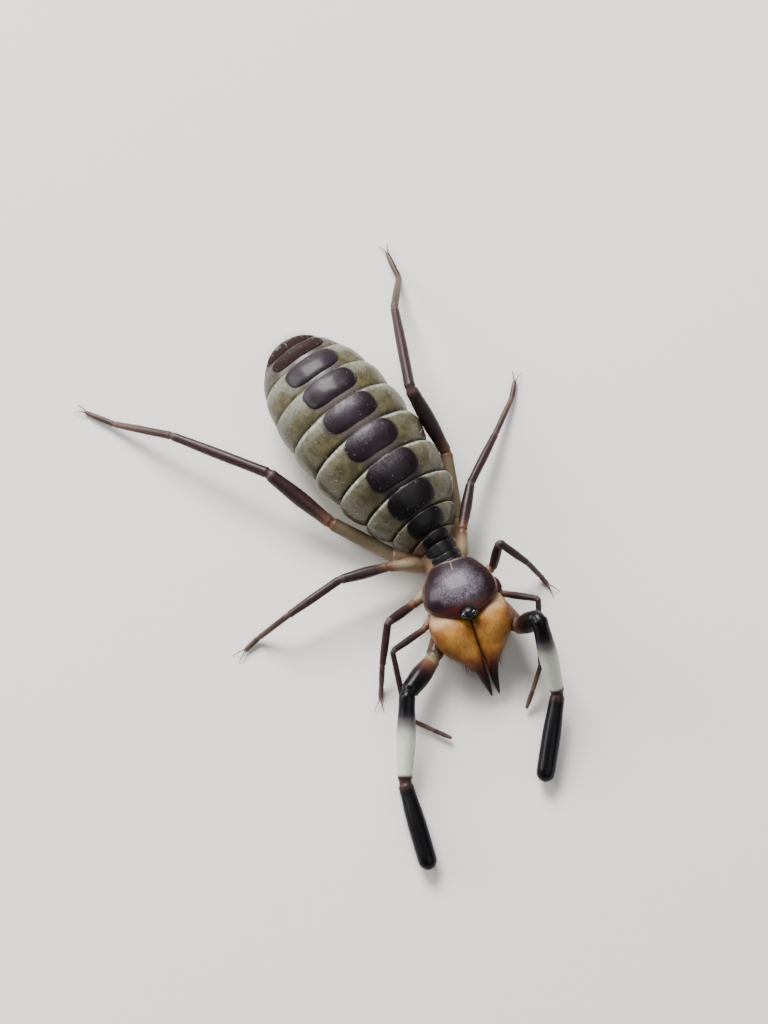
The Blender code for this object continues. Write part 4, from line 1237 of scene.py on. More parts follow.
class GeoTree:
    """A Geometry Nodes tree while it is being built."""

    def __init__(self, name: str, inputs: dict[str, tuple[str, object]]) -> None:
        """Starts a tree with a geometry input, named inputs and a geometry output."""
        self.tree = bpy.data.node_groups.new(name, "GeometryNodeTree")
        face = self.tree.interface
        face.new_socket("Geometry", in_out="INPUT", socket_type="NodeSocketGeometry")
        face.new_socket("Geometry", in_out="OUTPUT", socket_type="NodeSocketGeometry")
        for label, (kind, default) in inputs.items():
            made = face.new_socket(label, in_out="INPUT", socket_type=kind)
            if default is not None:
                made.default_value = default
        self.start = self.tree.nodes.new("NodeGroupInput")
        self.end = self.tree.nodes.new("NodeGroupOutput")

    def given(self, label: str) -> Socket:
        """Gives one of the tree's named inputs."""
        return self.start.outputs[label]

    def add(self, kind: str, inputs: Inputs, **settings: object) -> bpy.types.Node:
        """Adds a node with its settings, then links or sets its inputs."""
        made = self.tree.nodes.new(kind)
        for name, setting in settings.items():
            setattr(made, name, setting)
        for key, given in inputs.items():
            if isinstance(given, Socket):
                self.tree.links.new(given, made.inputs[key])
            else:
                made.inputs[key].default_value = given
        return made

    def out(self, kind: str, inputs: Inputs, **settings: object) -> Socket:
        """Adds a node and gives its first output."""
        return self.add(kind, inputs, **settings).outputs[0]

    def math(self, operation: str, first: object, second: object) -> Socket:
        """Adds a Math node."""
        return self.out("ShaderNodeMath", {0: first, 1: second}, operation=operation)

    def combine(self, *parts: object) -> Socket:
        """Combines up to three numbers into a vector."""
        return self.out("ShaderNodeCombineXYZ", dict(enumerate(parts)))

    def sum(self, first: object, second: object) -> Socket:
        """Adds two vectors."""
        return self.out("ShaderNodeVectorMath", {0: first, 1: second}, operation="ADD")

    def scaled(self, vector: object, scale: object) -> Socket:
        """Scales a vector by a number."""
        return self.out("ShaderNodeVectorMath", {0: vector, "Scale": scale}, operation="SCALE")

    def named(self, label: str, kind: str = "FLOAT") -> Socket:
        """Reads a named value of the geometry."""
        return self.out("GeometryNodeInputNamedAttribute", {"Name": label}, data_type=kind)

    def where(self, label: str, low: float, high: float) -> Socket:
        """Tells where a named value of the geometry lies between two numbers."""
        above = self.out("FunctionNodeCompare", {0: self.named(label), 1: low}, operation="GREATER_THAN")
        below = self.out("FunctionNodeCompare", {0: self.named(label), 1: high}, operation="LESS_THAN")
        return self.out("FunctionNodeBooleanMath", {0: above, 1: below}, operation="AND")

    def store(self, shape: Socket, label: str, kind: str, value: object, domain: str = "POINT") -> Socket:
        """Stores a named value on the geometry."""
        inputs = {"Geometry": shape, "Name": label, "Value": value}
        return self.out("GeometryNodeStoreNamedAttribute", inputs, data_type=kind, domain=domain)

    def join(self, *parts: Socket) -> Socket:
        """Joins geometries."""
        made = self.tree.nodes.new("GeometryNodeJoinGeometry")
        for part in parts:
            self.tree.links.new(part, made.inputs[0])
        return made.outputs[0]

    def finish(self, geometry: Socket, dresses: dict[str, object]) -> None:
        """Sets each named material on the faces chosen for it and sends the geometry out."""
        for label, chosen in dresses.items():
            inputs = {"Geometry": geometry, "Selection": chosen, "Material": self.given(label)}
            geometry = self.out("GeometryNodeSetMaterial", inputs)
        self.tree.links.new(geometry, self.end.inputs[0])

    def grow(self, mesh: Mesh, values: dict[str, object]) -> Mesh:
        """Runs the tree on a mesh.

        Args:
            mesh: What the tree starts from.
            values: A value for each of the tree's named inputs.

        Returns:
            The plain mesh that comes out.
        """
        made = linked(self.tree.name, mesh)
        modifier = made.modifiers.new(self.tree.name, "NODES")
        modifier.node_group = self.tree
        for item in self.tree.interface.items_tree:
            if item.in_out == "INPUT" and item.name in values:
                modifier[item.identifier] = values[item.name]
        return as_evaluated(made)


def limb_tree() -> GeoTree:
    """Builds the tree that sweeps a round section along each loose line and keeps the faces."""
    tree = GeoTree("sweep_limbs", {
        "Sides": ("NodeSocketInt", 16),
        "Strip Height": ("NodeSocketFloat", STRIP_HEIGHT),
        "Material": ("NodeSocketMaterial", None),
        "Palp Material": ("NodeSocketMaterial", None),
    })
    on_line = tree.where("limb", PALP_NUMBER - 0.5, LEG_NUMBER + 0.5)
    chosen = {0: tree.given("Geometry"), 1: on_line}
    split = tree.add("GeometryNodeSeparateGeometry", chosen, domain="POINT")
    curve = tree.out("GeometryNodeMeshToCurve", {0: split.outputs[0]})
    width = tree.math("MULTIPLY", tree.named("half_width"), MM)
    ring = {"Resolution": tree.given("Sides"), "Radius": 1.0}
    circle = tree.out("GeometryNodeCurvePrimitiveCircle", ring, mode="RADIUS")
    turn = tree.add("GeometryNodeSplineParameter", {}).outputs["Factor"]
    circle = tree.store(circle, "around", "FLOAT", turn)
    swept = {"Curve": curve, "Profile Curve": circle, "Scale": width, "Fill Caps": True}
    tube = tree.out("GeometryNodeCurveToMesh", swept)
    height = tree.math("MULTIPLY", tree.named("around"), tree.given("Strip Height"))
    height = tree.math("ADD", tree.named("strip_low"), height)
    tube = tree.store(tube, "root_place", "FLOAT_VECTOR", tree.combine(tree.named("run"), height))
    tube = tree.out("GeometryNodeSetShadeSmooth", {0: tube})
    whole = tree.out("GeometryNodeRealizeInstances", {0: tree.join(split.outputs[1], tube)})
    tree.finish(whole, {
        "Material": tree.where("limb", LEG_NUMBER - 0.5, LEG_NUMBER + 0.5),
        "Palp Material": tree.where("limb", PALP_NUMBER - 0.5, PALP_NUMBER + 0.5),
    })
    return tree


TUFT_SIZES = (0.6, 1.25)
TUFT_TIP = 0.06


def bristle_tree() -> GeoTree:
    """Builds the tree that roots curved bristles in a surface, leaning the way they lie."""
    tree = GeoTree("grow_bristles", {
        "Density": ("NodeSocketFloat", 1.0e6),
        "Length": ("NodeSocketFloat", 0.0003),
        "Thickness": ("NodeSocketFloat", 0.00002),
        "Lean": ("NodeSocketFloat", 1.0),
        "Spread": ("NodeSocketFloat", 0.3),
        "Bend": ("NodeSocketFloat", 0.3),
        "Spot": ("NodeSocketFloat", 0.003),
        "Seed": ("NodeSocketInt", 1),
        "Material": ("NodeSocketMaterial", None),
    })
    seed, lie = tree.given("Seed"), tree.named("lie", "FLOAT_VECTOR")
    dense = tree.math("MULTIPLY", tree.named("growth"), tree.given("Density"))
    roots = {"Mesh": tree.given("Geometry"), "Density": dense, "Seed": seed}
    scatter = tree.add("GeometryNodeDistributePointsOnFaces", roots, distribute_method="RANDOM")
    sizes = {"Vertices": 3, "Side Segments": 3, "Radius Top": TUFT_TIP, "Radius Bottom": 1.0, "Depth": 1.0}
    cone = tree.out("GeometryNodeMeshCone", sizes, fill_type="NONE")
    parts = tree.add("ShaderNodeSeparateXYZ", {0: tree.out("GeometryNodeInputPosition", {})}).outputs
    wide = tree.math("DIVIDE", tree.given("Thickness"), tree.given("Length"))
    bent = tree.math("MULTIPLY", tree.math("MULTIPLY", parts[2], parts[2]), tree.given("Bend"))
    over = tree.math("ADD", tree.math("MULTIPLY", parts[0], wide), bent)
    moved = tree.combine(over, tree.math("MULTIPLY", parts[1], wide), parts[2])
    cone = tree.out("GeometryNodeSetPosition", {"Geometry": cone, "Position": moved})
    cone = tree.store(cone, "spot", "FLOAT_VECTOR", tree.combine(parts[2], parts[1]))
    ends = {0: (-1.0, -1.0, -1.0), 1: (1.0, 1.0, 1.0), "Seed": seed}
    astray = tree.out("FunctionNodeRandomValue", ends, data_type="FLOAT_VECTOR")
    way = tree.sum(scatter.outputs["Normal"], tree.scaled(lie, tree.given("Lean")))
    way = tree.sum(way, tree.scaled(astray, tree.given("Spread")))
    align = "FunctionNodeAlignRotationToVector"
    turned = tree.out(align, {"Vector": way}, axis="Z", pivot_axis="AUTO")
    turned = tree.out(align, {"Rotation": turned, "Vector": lie}, axis="X", pivot_axis="Z")
    ends = {2: TUFT_SIZES[0], 3: TUFT_SIZES[1], "Seed": seed}
    size = tree.add("FunctionNodeRandomValue", ends, data_type="FLOAT").outputs[1]
    size = tree.math("MULTIPLY", size, tree.given("Length"))
    tufts = {"Points": scatter.outputs[0], "Instance": cone, "Rotation": turned, "Scale": size}
    real = tree.out("GeometryNodeRealizeInstances", {0: tree.out("GeometryNodeInstanceOnPoints", tufts)})
    patch = tree.scaled(tree.named("spot", "FLOAT_VECTOR"), tree.given("Spot"))
    place = tree.sum(tree.named("root_place", "FLOAT_VECTOR"), patch)
    real = tree.store(real, "OFBake", "FLOAT2", place, "CORNER")
    real = tree.out("GeometryNodeSetShadeSmooth", {0: real})
    tree.finish(real, {"Material": True})
    return tree


@dataclass
class Prosoma:
    """The soft front body: the thorax, the hips and the skin under the shield."""

    half_width: float = 1.25
    front: float = -2.4
    rear: float = 0.75
    top: float = 3.3
    belly: float = 0.6
    middle_x: float = -0.2
    middle_z: float = 1.7
    face_height: float = 3.0
    hip_width: float = 1.75
    voxel: float = 0.07
    softening: float = 0.6
    soft_steps: int = 4
    hip_sides: int = 18
    hip_margin: float = 0.17
    seam_width: float = 0.09
    plate_root: float = 0.12
    plate_runs: Stations = (
        (-1.8, -1.46, 0.82, 0.05), (-1.5, -1.0, 0.9, 0.02), (-1.04, -0.2, 0.94, 0.035),
    )
    beak_size: Numbers = (0.2, 0.85, 0.2)
    beak_place: Numbers = (0.0, -3.3, 1.1)
    fan_shares: Numbers = (0.35, 0.65, 0.95, 1.25, 1.55)
    fan_parts: tuple[tuple[Numbers, float], ...] = (((0.04, 0.04, 0.18), 0.46), ((0.07, 0.26, 0.11), 0.66))

    def add_skin(self, shape: Shape) -> None:
        """Blends the thorax, the head's underside and the hips into one skin."""
        blocks = Shape()
        self._thorax(blocks)
        self._head(blocks)
        for kind, side in STANCES:
            self._hip(blocks, Limb(kind, side))
        made = linked("hip_blocks", blocks.mesh("hip_blocks", 1.0))
        remesh = made.modifiers.new("blend", "REMESH")
        remesh.mode = "VOXEL"
        remesh.voxel_size = self.voxel
        soften = made.modifiers.new("soften", "SMOOTH")
        soften.factor = self.softening
        soften.iterations = self.soft_steps
        result = as_evaluated(made)
        points = np.zeros(len(result.vertices) * 3)
        result.vertices.foreach_get("co", points)
        points = points.reshape(-1, 3) - ANIMAL.shift
        # The seam value marks the grooves between the hips, which the membrane finish sinks and paints with
        # shade.
        start = shape.store(points, {"seam": self._seams(points)})
        shape.faces += [tuple(start + corner for corner in face.vertices) for face in result.polygons]
        shape.materials += [1] * len(result.polygons)

    def _seams(self, points: Array) -> Array:
        """Gives how close each point lies to the groove between two hips, from 0 to 1."""
        away = []
        for kind, side in STANCES:
            limb = Limb(kind, side)
            steps = np.linspace(0.0, 1.0, 10)[:, None]
            line = limb.hip() * (1 - steps) + limb.joints[0] * steps
            distance = np.linalg.norm(points[:, None, :] - line[None], axis=-1).min(axis=1)
            away.append(distance - kind.value[0].start)
        nearest = np.sort(np.array(away), axis=0)
        low = 1.0 - eased((points[:, 2] - 1.5) / 0.6)
        return hump(nearest[1] - nearest[0], 0.0, self.seam_width) * low

    def mouthparts(self) -> Object:
        """Makes the narrow beak between the palps' hips and the fans under the last legs' hips."""
        shape = Shape()
        ball = unit_ball(20, 24)[..., [0, 2, 1]]
        taper = 0.75 + 0.25 * ball[..., 1:2]
        beak = ball * np.array(self.beak_size)
        beak = beak * np.concatenate([taper, np.ones_like(taper), taper], axis=-1)
        beak = transformed(beak + np.array(self.beak_place), ANIMAL.head())
        shape.loft(beak, {"reach": np.full(ball.shape[:2], 0.6)})
        ball = ball[::2, ::2]
        pale = {"pale": np.ones(ball.shape[:2])}
        for side, _ in SIDES:
            limb = Limb(Kind.LEG4, side)
            hip, root, knee = limb.hip(), *limb.joints[:2]
            for share in self.fan_shares:
                line = hip + (root - hip) * share
                if share > 1.0:
                    line = root + (knee - root) * (share - 1.0) * 0.6
                for size, drop in self.fan_parts:
                    shape.loft(ball * np.array(size) + line - np.array([0.0, 0.0, drop]), pale)
        return finished("mouthparts", shape.mesh("mouthparts"), [PINCER])

    def _thorax(self, blocks: Shape) -> None:
        """Adds the thorax, which is broadest low down."""
        y, angle = grid(np.linspace(self.front, self.rear, 12), turns(24))
        share = (y - self.front) / (self.rear - self.front)
        width = self.half_width * (1.0 - 0.35 * eased((share - 0.7) / 0.3)) * (1.05 - 0.15 * np.cos(angle))
        height = np.where(np.cos(angle) > 0, self.top - self.middle_z, self.middle_z - self.belly)
        height = height * (1.0 - 0.2 * eased((share - 0.6) / 0.4))
        x, z = width * np.sin(angle) + self.middle_x, self.middle_z + height * np.cos(angle)
        blocks.loft(np.stack([x, y, z], axis=-1))

    def _head(self, blocks: Shape) -> None:
        """Adds the flesh under the shield."""
        share, angle = grid(np.linspace(0.04, 0.97, 12), turns(32))
        half = head_half_width(share)
        up = np.cos(angle)
        rise = np.where(up > 0, head_top(share) - 0.2 - self.face_height, 2.0)
        z = self.face_height + rise * up
        low_half = half + (np.minimum(self.hip_width, half) - half) * eased(-up * 1.3)
        width = np.where(up > 0, half, low_half)
        width = width + np.where(np.sin(angle) < 0, 0.24 * hump(share, 0.38, 0.22), 0.0)
        y = -3.9 * share + 0.75 * eased(share * 2 - 1) * eased((self.face_height - z) / 1.6)
        blocks.loft(transformed(np.stack([width * np.sin(angle), y, z], axis=-1), ANIMAL.head()))

    def _hip(self, blocks: Shape, limb: Limb) -> None:
        """Adds one limb's hip, from beside the middle line out to the limb's first length."""
        first = limb.kind.value[0]
        base = limb.hip()
        end = limb.joints[0] + limb.ways[0] * min(0.5, 0.4 * first.reach)
        steps = np.linspace(0.0, 1.0, 8)[:, None]
        line = base * (1 - steps) + end * steps
        way = unit(end - base)
        flank = unit(np.cross(way, [0.0, 0.0, 1.0]))
        rise = np.cross(flank, way)
        radius = (first.start + self.hip_margin) + 0.12 * np.sin(math.pi * steps) - 0.09 * steps
        turn = turns(self.hip_sides)
        ring = np.cos(turn)[:, None] * flank + np.sin(turn)[:, None] * rise
        blocks.loft(line[:, None, :] + radius[:, None, :] * ring[None])

    def plates(self) -> Object:
        """Makes the two thin plates behind the shield, with their edges sunk in the skin."""
        shape = Shape()
        down, over, below = shell(18, 36)
        rim = np.maximum(np.abs(down), np.abs(over))
        for front, rear, half, lift in self.plate_runs:
            dome = 0.02 * (1.0 - rim ** 4) - 0.03 * eased((rim - 0.92) / 0.08) + lift
            rise = np.where(below, -self.plate_root, dome)
            angle = over * half * (1.0 - 0.1 * np.abs(down) ** 3)
            y = (front + rear) / 2 + (rear - front) / 2 * down * (1.0 - 0.4 * np.abs(over) ** 3)
            y = y + 0.16 * over ** 2
            x = (self.half_width + rise) * np.sin(angle) + self.middle_x
            z = self.middle_z + (self.top - self.middle_z + rise) * np.cos(angle)
            shape.loft(np.stack([x, y, z], axis=-1), {"middle": 1.0 - rim ** 2, "front": np.ones_like(rim)})
        return finished("waist_plates", shape.mesh("waist_plates"), [PLATE])


WIDEST = 0.57
CREST = 0.65


def head_half_width(share: Array) -> Array:
    """Gives half the shield's width from its rear edge at 0 to its front margin at 1."""
    rear = 2.3 - 1.16 * held(1.0 - share / WIDEST) ** 1.8
    front = 1.8 * held((share - WIDEST) / (1.0 - WIDEST)) ** 2.4
    return rear - front


def head_top(share: Array) -> Array:
    """Gives the height of the shield's crest."""
    rear = 3.45 + 0.9 * np.sin(held(share / CREST) * math.pi / 2)
    return rear - 0.45 * held((share - CREST) / (1.0 - CREST)) ** 2


@dataclass
class Shield:
    """The shield over the head, with the eye tubercle on its front margin."""

    length: float = 4.02
    middle_y: float = -2.05
    lean: float = -0.08
    edge_height: float = 3.0
    rings: int = 44
    columns: int = 240
    thickness: float = 0.12
    rim_start: float = 0.93
    eye_radius: float = 0.21
    eye_spread: float = 0.33
    tubercle_size: tuple[float, float, float] = (0.52, 0.44, 0.42)
    lobe_place: tuple[float, float, float] = (2.2, -2.2, 2.86)
    lobe_size: tuple[float, float, float] = (0.4, 0.62, 0.2)
    lobe_turn: float = math.radians(16)
    lobe_droop: float = math.radians(18)

    def outline(self, turn: Array) -> tuple[Array, Array]:
        """Gives the shield's edge at each turn round its middle, 0 at the animal's left."""
        share = np.linspace(0.05, 0.97, 60)
        side = np.stack([head_half_width(share), -self.length * share], axis=1)
        line = np.concatenate([[[0.0, -0.1]], side, [[0.0, -self.length]]])
        line[:, 1] -= self.middle_y
        places = np.arctan2(line[:, 1], line[:, 0])
        reach = np.interp(np.arcsin(np.sin(turn)), places[::-1], np.hypot(line[:, 0], line[:, 1])[::-1])
        return reach * np.cos(turn) + self.lean, reach * np.sin(turn) + self.middle_y

    def make(self) -> Object:
        """Lofts the shield from its middle to its rim and back underneath."""
        rim = [self.rim_start, 0.955, 0.975, 0.99, 1.0]
        above = np.concatenate([np.linspace(0.02, 0.9, self.rings), rim])
        turn = turns(self.columns)
        row, around = grid(np.concatenate([above, above[::-4]]), turn / math.tau)
        below = np.repeat([0.0, self.thickness], [len(above), len(above[::-4])])[:, None]
        edge_x, edge_y = self.outline(turn)
        x = edge_x * row
        y = self.middle_y + (edge_y - self.middle_y) * row
        z = self.height(x, y) + self._rim_rise(row) - below
        share = -y / self.length
        thread = hump(x, -0.1 - 0.1 * share, 0.022)
        way = np.array(ANIMAL.head().to_3x3() @ Vector((0.0, -1.0, -0.1)))
        shape = Shape()
        shape.loft(transformed(np.stack([x, y, z], axis=-1), ANIMAL.head()), {
            "outward": row,
            "rim": eased((row - self.rim_start) / 0.04),
            "front": eased((share - 0.72) / 0.16),
            "groove": hump(x, 0.0, 0.035) * eased((share - 0.62) / 0.05),
            "thread": thread * eased((share - 0.06) / 0.03) * eased((0.24 - share) / 0.05),
            "black": eased((1.35 - np.hypot((x - 0.05) / 0.5, (y + 3.84) / 0.42)) / 0.35),
            "root_place": unwrap_place(1, row, around),
            "lie": np.broadcast_to(way, (*row.shape, 3)).copy(),
            "growth": eased((0.92 - row) / 0.1),
        })
        self._tubercle(shape)
        self._lobe(shape, 1.0, 1.0)
        self._lobe(shape, -1.0, 0.88)
        return finished("shield", shape.mesh("shield"), [SHIELD])

    def height(self, x: Array, y: Array) -> Array:
        """Gives the height of the shield's plain dome."""
        share = held(-y / self.length)
        half = head_half_width(share)
        dome = np.sqrt(held(1.0 - (np.abs(x) / (half * 1.05 + 0.06)) ** 2))
        edge = self.edge_height + 0.3 * eased((share - 0.75) / 0.25)
        return edge + (head_top(share) - edge) * dome

    def _rim_rise(self, row: Array) -> Array:
        """Gives the rise of the thin raised rim and its fall at the very edge."""
        return 0.05 * hump(row, 0.965, 0.02) - 0.12 * eased((row - 0.97) / 0.03)

    def _tubercle(self, shape: Shape) -> None:
        """Adds the black tubercle that carries the eyes."""
        ball = unit_ball(20, 32) * np.array(self.tubercle_size) + np.array(ANIMAL.tubercle)
        ones = np.ones(ball.shape[:2])
        values = {"black": ones, "outward": ones, "growth": 0.0 * ones}
        shape.loft(transformed(ball, ANIMAL.head()), values)

    def _lobe(self, shape: Shape, side: float, reach: float) -> None:
        """Adds the small flat lobe beside the shield, a share of its full reach out."""
        turn = Matrix.Rotation(side * self.lobe_turn, 4, "Z")
        slant = turn @ Matrix.Rotation(side * self.lobe_droop, 4, "Y")
        place = Matrix.Translation((side * reach * self.lobe_place[0] + self.lean, *self.lobe_place[1:]))
        points = transformed(unit_ball(16, 32) * np.array(self.lobe_size), ANIMAL.head() @ place @ slant)
        level = np.full(points.shape[:2], 0.95)
        shape.loft(points, {"outward": level, "front": level * 0.6})

    def eyes(self) -> None:
        """Makes the two glossy eyes."""
        for name, side in SIDES:
            away = Vector((side * self.eye_spread, -ANIMAL.eye_forward, ANIMAL.eye_rise))
            ball = unit_ball(24, 32, 0.05) * self.eye_radius + np.array(ANIMAL.tubercle + away)
            shape = Shape()
            shape.loft(transformed(ball, ANIMAL.head()))
            finished(f"lens_{name}", shape.mesh(f"lens_{name}"), [EYE], [f"eye_{name}"])


@dataclass
class Pincer:
    """One chelicera: the swollen hand with its fixed finger, and the movable finger below."""

    name: str
    side: float
    root: Vector = Vector((1.3, -3.65, 2.85))
    pitch: float = math.radians(25)
    toe_in: float = math.radians(12)
    swing: float = math.radians(3)
    gap: float = 0.03
    hand: Stations = (
        (-0.95, 0.7, 0.5, -0.72, 0.0), (-0.5, 1.05, 0.84, -0.44, 0.0), (0.1, 1.3, 1.08, -0.16, 0.0),
        (0.7, 1.36, 1.18, -0.03, 0.0), (1.4, 1.27, 1.12, 0.03, 0.02), (2.1, 0.95, 0.93, 0.1, 0.06),
        (2.8, 0.6, 0.68, 0.24, 0.15), (3.4, 0.38, 0.45, 0.3, 0.21), (4.2, 0.23, 0.28, 0.25, 0.19),
        (4.8, 0.15, 0.18, 0.1, 0.13), (5.2, 0.08, 0.09, -0.08, 0.09), (5.38, 0.02, 0.025, -0.2, 0.07),
    )
    finger: Stations = (
        (1.9, 0.22, 0.25, -0.66, 0.05), (2.4, 0.3, 0.33, -0.78, 0.1), (3.0, 0.28, 0.31, -0.85, 0.17),
        (3.7, 0.21, 0.24, -0.84, 0.19), (4.3, 0.15, 0.17, -0.74, 0.17), (4.8, 0.09, 0.11, -0.58, 0.12),
        (5.1, 0.03, 0.03, -0.44, 0.08),
    )
    hand_teeth: Stations = ((3.15, 0.7), (3.45, 1.0), (3.8, 0.8), (4.1, 1.1), (4.45, 0.6))
    finger_teeth: Stations = ((3.4, 0.9), (3.75, 0.6), (4.05, 1.0))
    tooth_rings: Stations = ((-0.08, 0.11), (0.3, 0.09), (0.7, 0.05), (1.0, 0.012))
    tooth_height: float = 0.2
    full_reach: float = 5.4
    least_half: float = 0.01
    finger_redness: float = 0.66
    sides: int = 40

    def placed(self, points: Array) -> Array:
        """Pitches and toes in the pincer's own points and flattens them against its twin."""
        turn = Matrix.Rotation(-self.side * self.toe_in, 4, "Z") @ Matrix.Rotation(self.pitch, 4, "X")
        root = Matrix.Translation((self.side * self.root.x, 0.0, self.root.z))
        moved = transformed(points, root @ turn)
        moved[..., 0] = self.side * np.maximum(self.side * moved[..., 0], self.gap)
        pair = Matrix.Translation((0.0, self.root.y, 0.0)) @ Matrix.Rotation(self.swing, 4, "Z")
        return transformed(moved, ANIMAL.head() @ pair)

    def _smoothed(self, stations: Stations, count: int) -> Array:
        """Smooths a list of stations into many, with a curve through each."""
        given = np.array(stations)
        where = np.linspace(0.0, len(given) - 1.0, count)
        low = np.clip(where.astype(int), 0, len(given) - 2)
        mix = (where - low)[:, None]
        before, after = given[np.maximum(low - 1, 0)], given[np.minimum(low + 2, len(given) - 1)]
        here, there = given[low], given[low + 1]
        second = 2 * before - 5 * here + 4 * there - after
        third = 3 * here - before - 3 * there + after
        return 0.5 * (2 * here + (there - before) * mix + second * mix ** 2 + third * mix ** 3)

    def _finger(self, shape: Shape, stations: Stations, count: int) -> None:
        """Lofts the hand or a finger.

        Args:
            shape: The hand or the finger so far.
            stations: Reach, half width, half height, height and way inward at each station.
            count: The number of rings.
        """
        reach, half, tall, height, inward = self._smoothed(stations, count).T[:, :, None]
        turn = turns(self.sides)
        reach, up = np.broadcast_arrays(reach, np.cos(turn))
        x = np.maximum(half, self.least_half) * np.sin(turn) - self.side * inward
        z = height + np.maximum(tall, self.least_half) * up
        local = np.stack([x, -reach, z], axis=-1)
        uneven = 0.025 * ripple(local, 0.9, 21)
        local += uneven[..., None] * np.array([1.0, 0.0, 1.0]) * eased((3.4 - reach) / 1.5)[..., None]
        points = self.placed(local)
        way = np.array(ANIMAL.head().to_3x3() @ Vector((-self.side * 0.2, -1.0, -0.35)))
        outer = np.broadcast_to(self.side * np.sin(turn), reach.shape)
        around = np.broadcast_to(turn / math.tau, reach.shape)
        share = held(reach / self.full_reach)
        shape.loft(points, {
            "reach": reach / self.full_reach,
            "side": eased((outer - 0.35) / 0.6) * (1.0 - eased((up - 0.6) / 0.4)),
            "pale": 0.75 * eased((0.15 - reach) / 0.5) * eased((up - 0.1) / 0.5),
            "root_place": unwrap_place(2 if self.side > 0 else 3, share, around),
            "lie": np.broadcast_to(way, points.shape).copy(),
            "growth": eased(reach / 0.6) * eased((3.2 - reach) / 0.5) * eased((up + 0.9) / 0.4),
            "brush": eased((reach - 2.3) / 0.3) * eased((3.4 - reach) / 0.3),
        })

    def _tooth(self, shape: Shape, stations: Stations, tooth: Numbers, way: float) -> None:
        """Adds one tooth on a finger's biting edge.

        Args:
            shape: The hand or the finger so far.
            stations: Its stations.
            tooth: The tooth's reach and its size.
            way: -1 for a tooth that points down, 1 for one that points up.
        """
        reach, size = tooth
        given = np.array(stations)
        half, height, inward = (np.interp(reach, given[:, 0], given[:, column]) for column in (2, 3, 4))
        edge = height + way * half
        middle = -self.side * inward
        rings = []
        for rise, radius in self.tooth_rings:
            up = edge + way * rise * self.tooth_height * size
            rings.append([
                (middle + radius * math.cos(turn), -reach - 0.04 * rise + radius * math.sin(turn), up)
                for turn in turns(8)
            ])
        points = self.placed(np.array(rings))
        shape.loft(points, {"reach": np.ones(points.shape[:2])})

    def make(self) -> list[Object]:
        """Makes the hand and the movable finger."""
        hand, finger = Shape(), Shape()
        self._finger(hand, self.hand, 96)
        for tooth in self.hand_teeth:
            self._tooth(hand, self.hand, tooth, -1.0)
        self._finger(finger, self.finger, 60)
        reaches = finger.values["reach"]
        finger.values["reach"] = [np.maximum(block, self.finger_redness) for block in reaches]
        for tooth in self.finger_teeth:
            self._tooth(finger, self.finger, tooth, 1.0)
        made = []
        for label, shape, node in (("hand", hand, "chelicera"), ("finger", finger, "movable_finger")):
            name = f"pincer_{label}_{self.name}"
            made.append(finished(name, shape.mesh(name), [PINCER], [f"{node}_{self.name}"]))
        return made


@dataclass
class Claws:
    """The two slender claws on each foot of the last three pairs of legs."""

    length: float = 0.72
    sunk: float = 0.2
    width: float = 0.045
    least_width: float = 0.006
    spread: float = math.radians(20)
    root_height: float = 0.2
    point_height: float = 0.035
    rise: float = 0.16

    def make(self, limbs: Sequence[Limb]) -> Object:
        """Makes all the claws as one piece."""
        shape = Shape()
        for limb in limbs:
            if limb.kind in (Kind.LEG2, Kind.LEG3, Kind.LEG4):
                for side in (-1.0, 1.0):
                    self._claw(shape, limb, side)
        return finished("claws", shape.mesh("claws"), [CLAW])

    def _claw(self, shape: Shape, limb: Limb, side: float) -> None:
        """Lofts one claw, which arches up and comes down to the floor at its point."""
        tip = limb.joints[-1]
        forward = unit(limb.ways[-1] * np.array([1.0, 1.0, 0.0]))
        aside = np.array([-forward[1], forward[0], 0.0]) * side
        turn = turns(8)
        around = np.cos(turn)[:, None] * aside + np.sin(turn)[:, None] * np.array([0.0, 0.0, 1.0])
        rings = []
        for share in np.linspace(0.0, 1.0, 12):
            reach = share * (self.length + self.sunk) - self.sunk
            centre = tip + forward * reach + aside * (0.05 + math.sin(self.spread) * max(reach, 0.0))
            arch = self.rise * math.sin(math.pi * share)
            centre[2] = self.root_height * (1 - share) + self.point_height + arch
            rings.append(centre + (self.width * (1.0 - 0.8 * share) + self.least_width) * around)
        shape.loft(np.array(rings))


@dataclass
class Coat:
    """One kind of bristle and where it grows."""

    name: str
    density: float
    length: float
    thickness: float
    lean: float
    finish: Finish
    spread: float = 0.3
    bend: float = 0.25
    seed: int = 1

    def grow(self, tree: GeoTree, mesh: Mesh) -> Object:
        """Grows the coat on a mesh that holds its growth, from 0 to 1, its lie and its unwrap."""
        grown = tree.grow(mesh, {
            "Density": self.density / MM ** 2,
            "Length": self.length * MM,
            "Thickness": self.thickness * MM,
            "Lean": self.lean,
            "Spread": self.spread,
            "Bend": self.bend,
            "Seed": self.seed,
            "Material": material_of(self.finish),
        })
        grown.name = self.name
        return finished(self.name, grown, [])


Growth = Callable[[Values], Array]


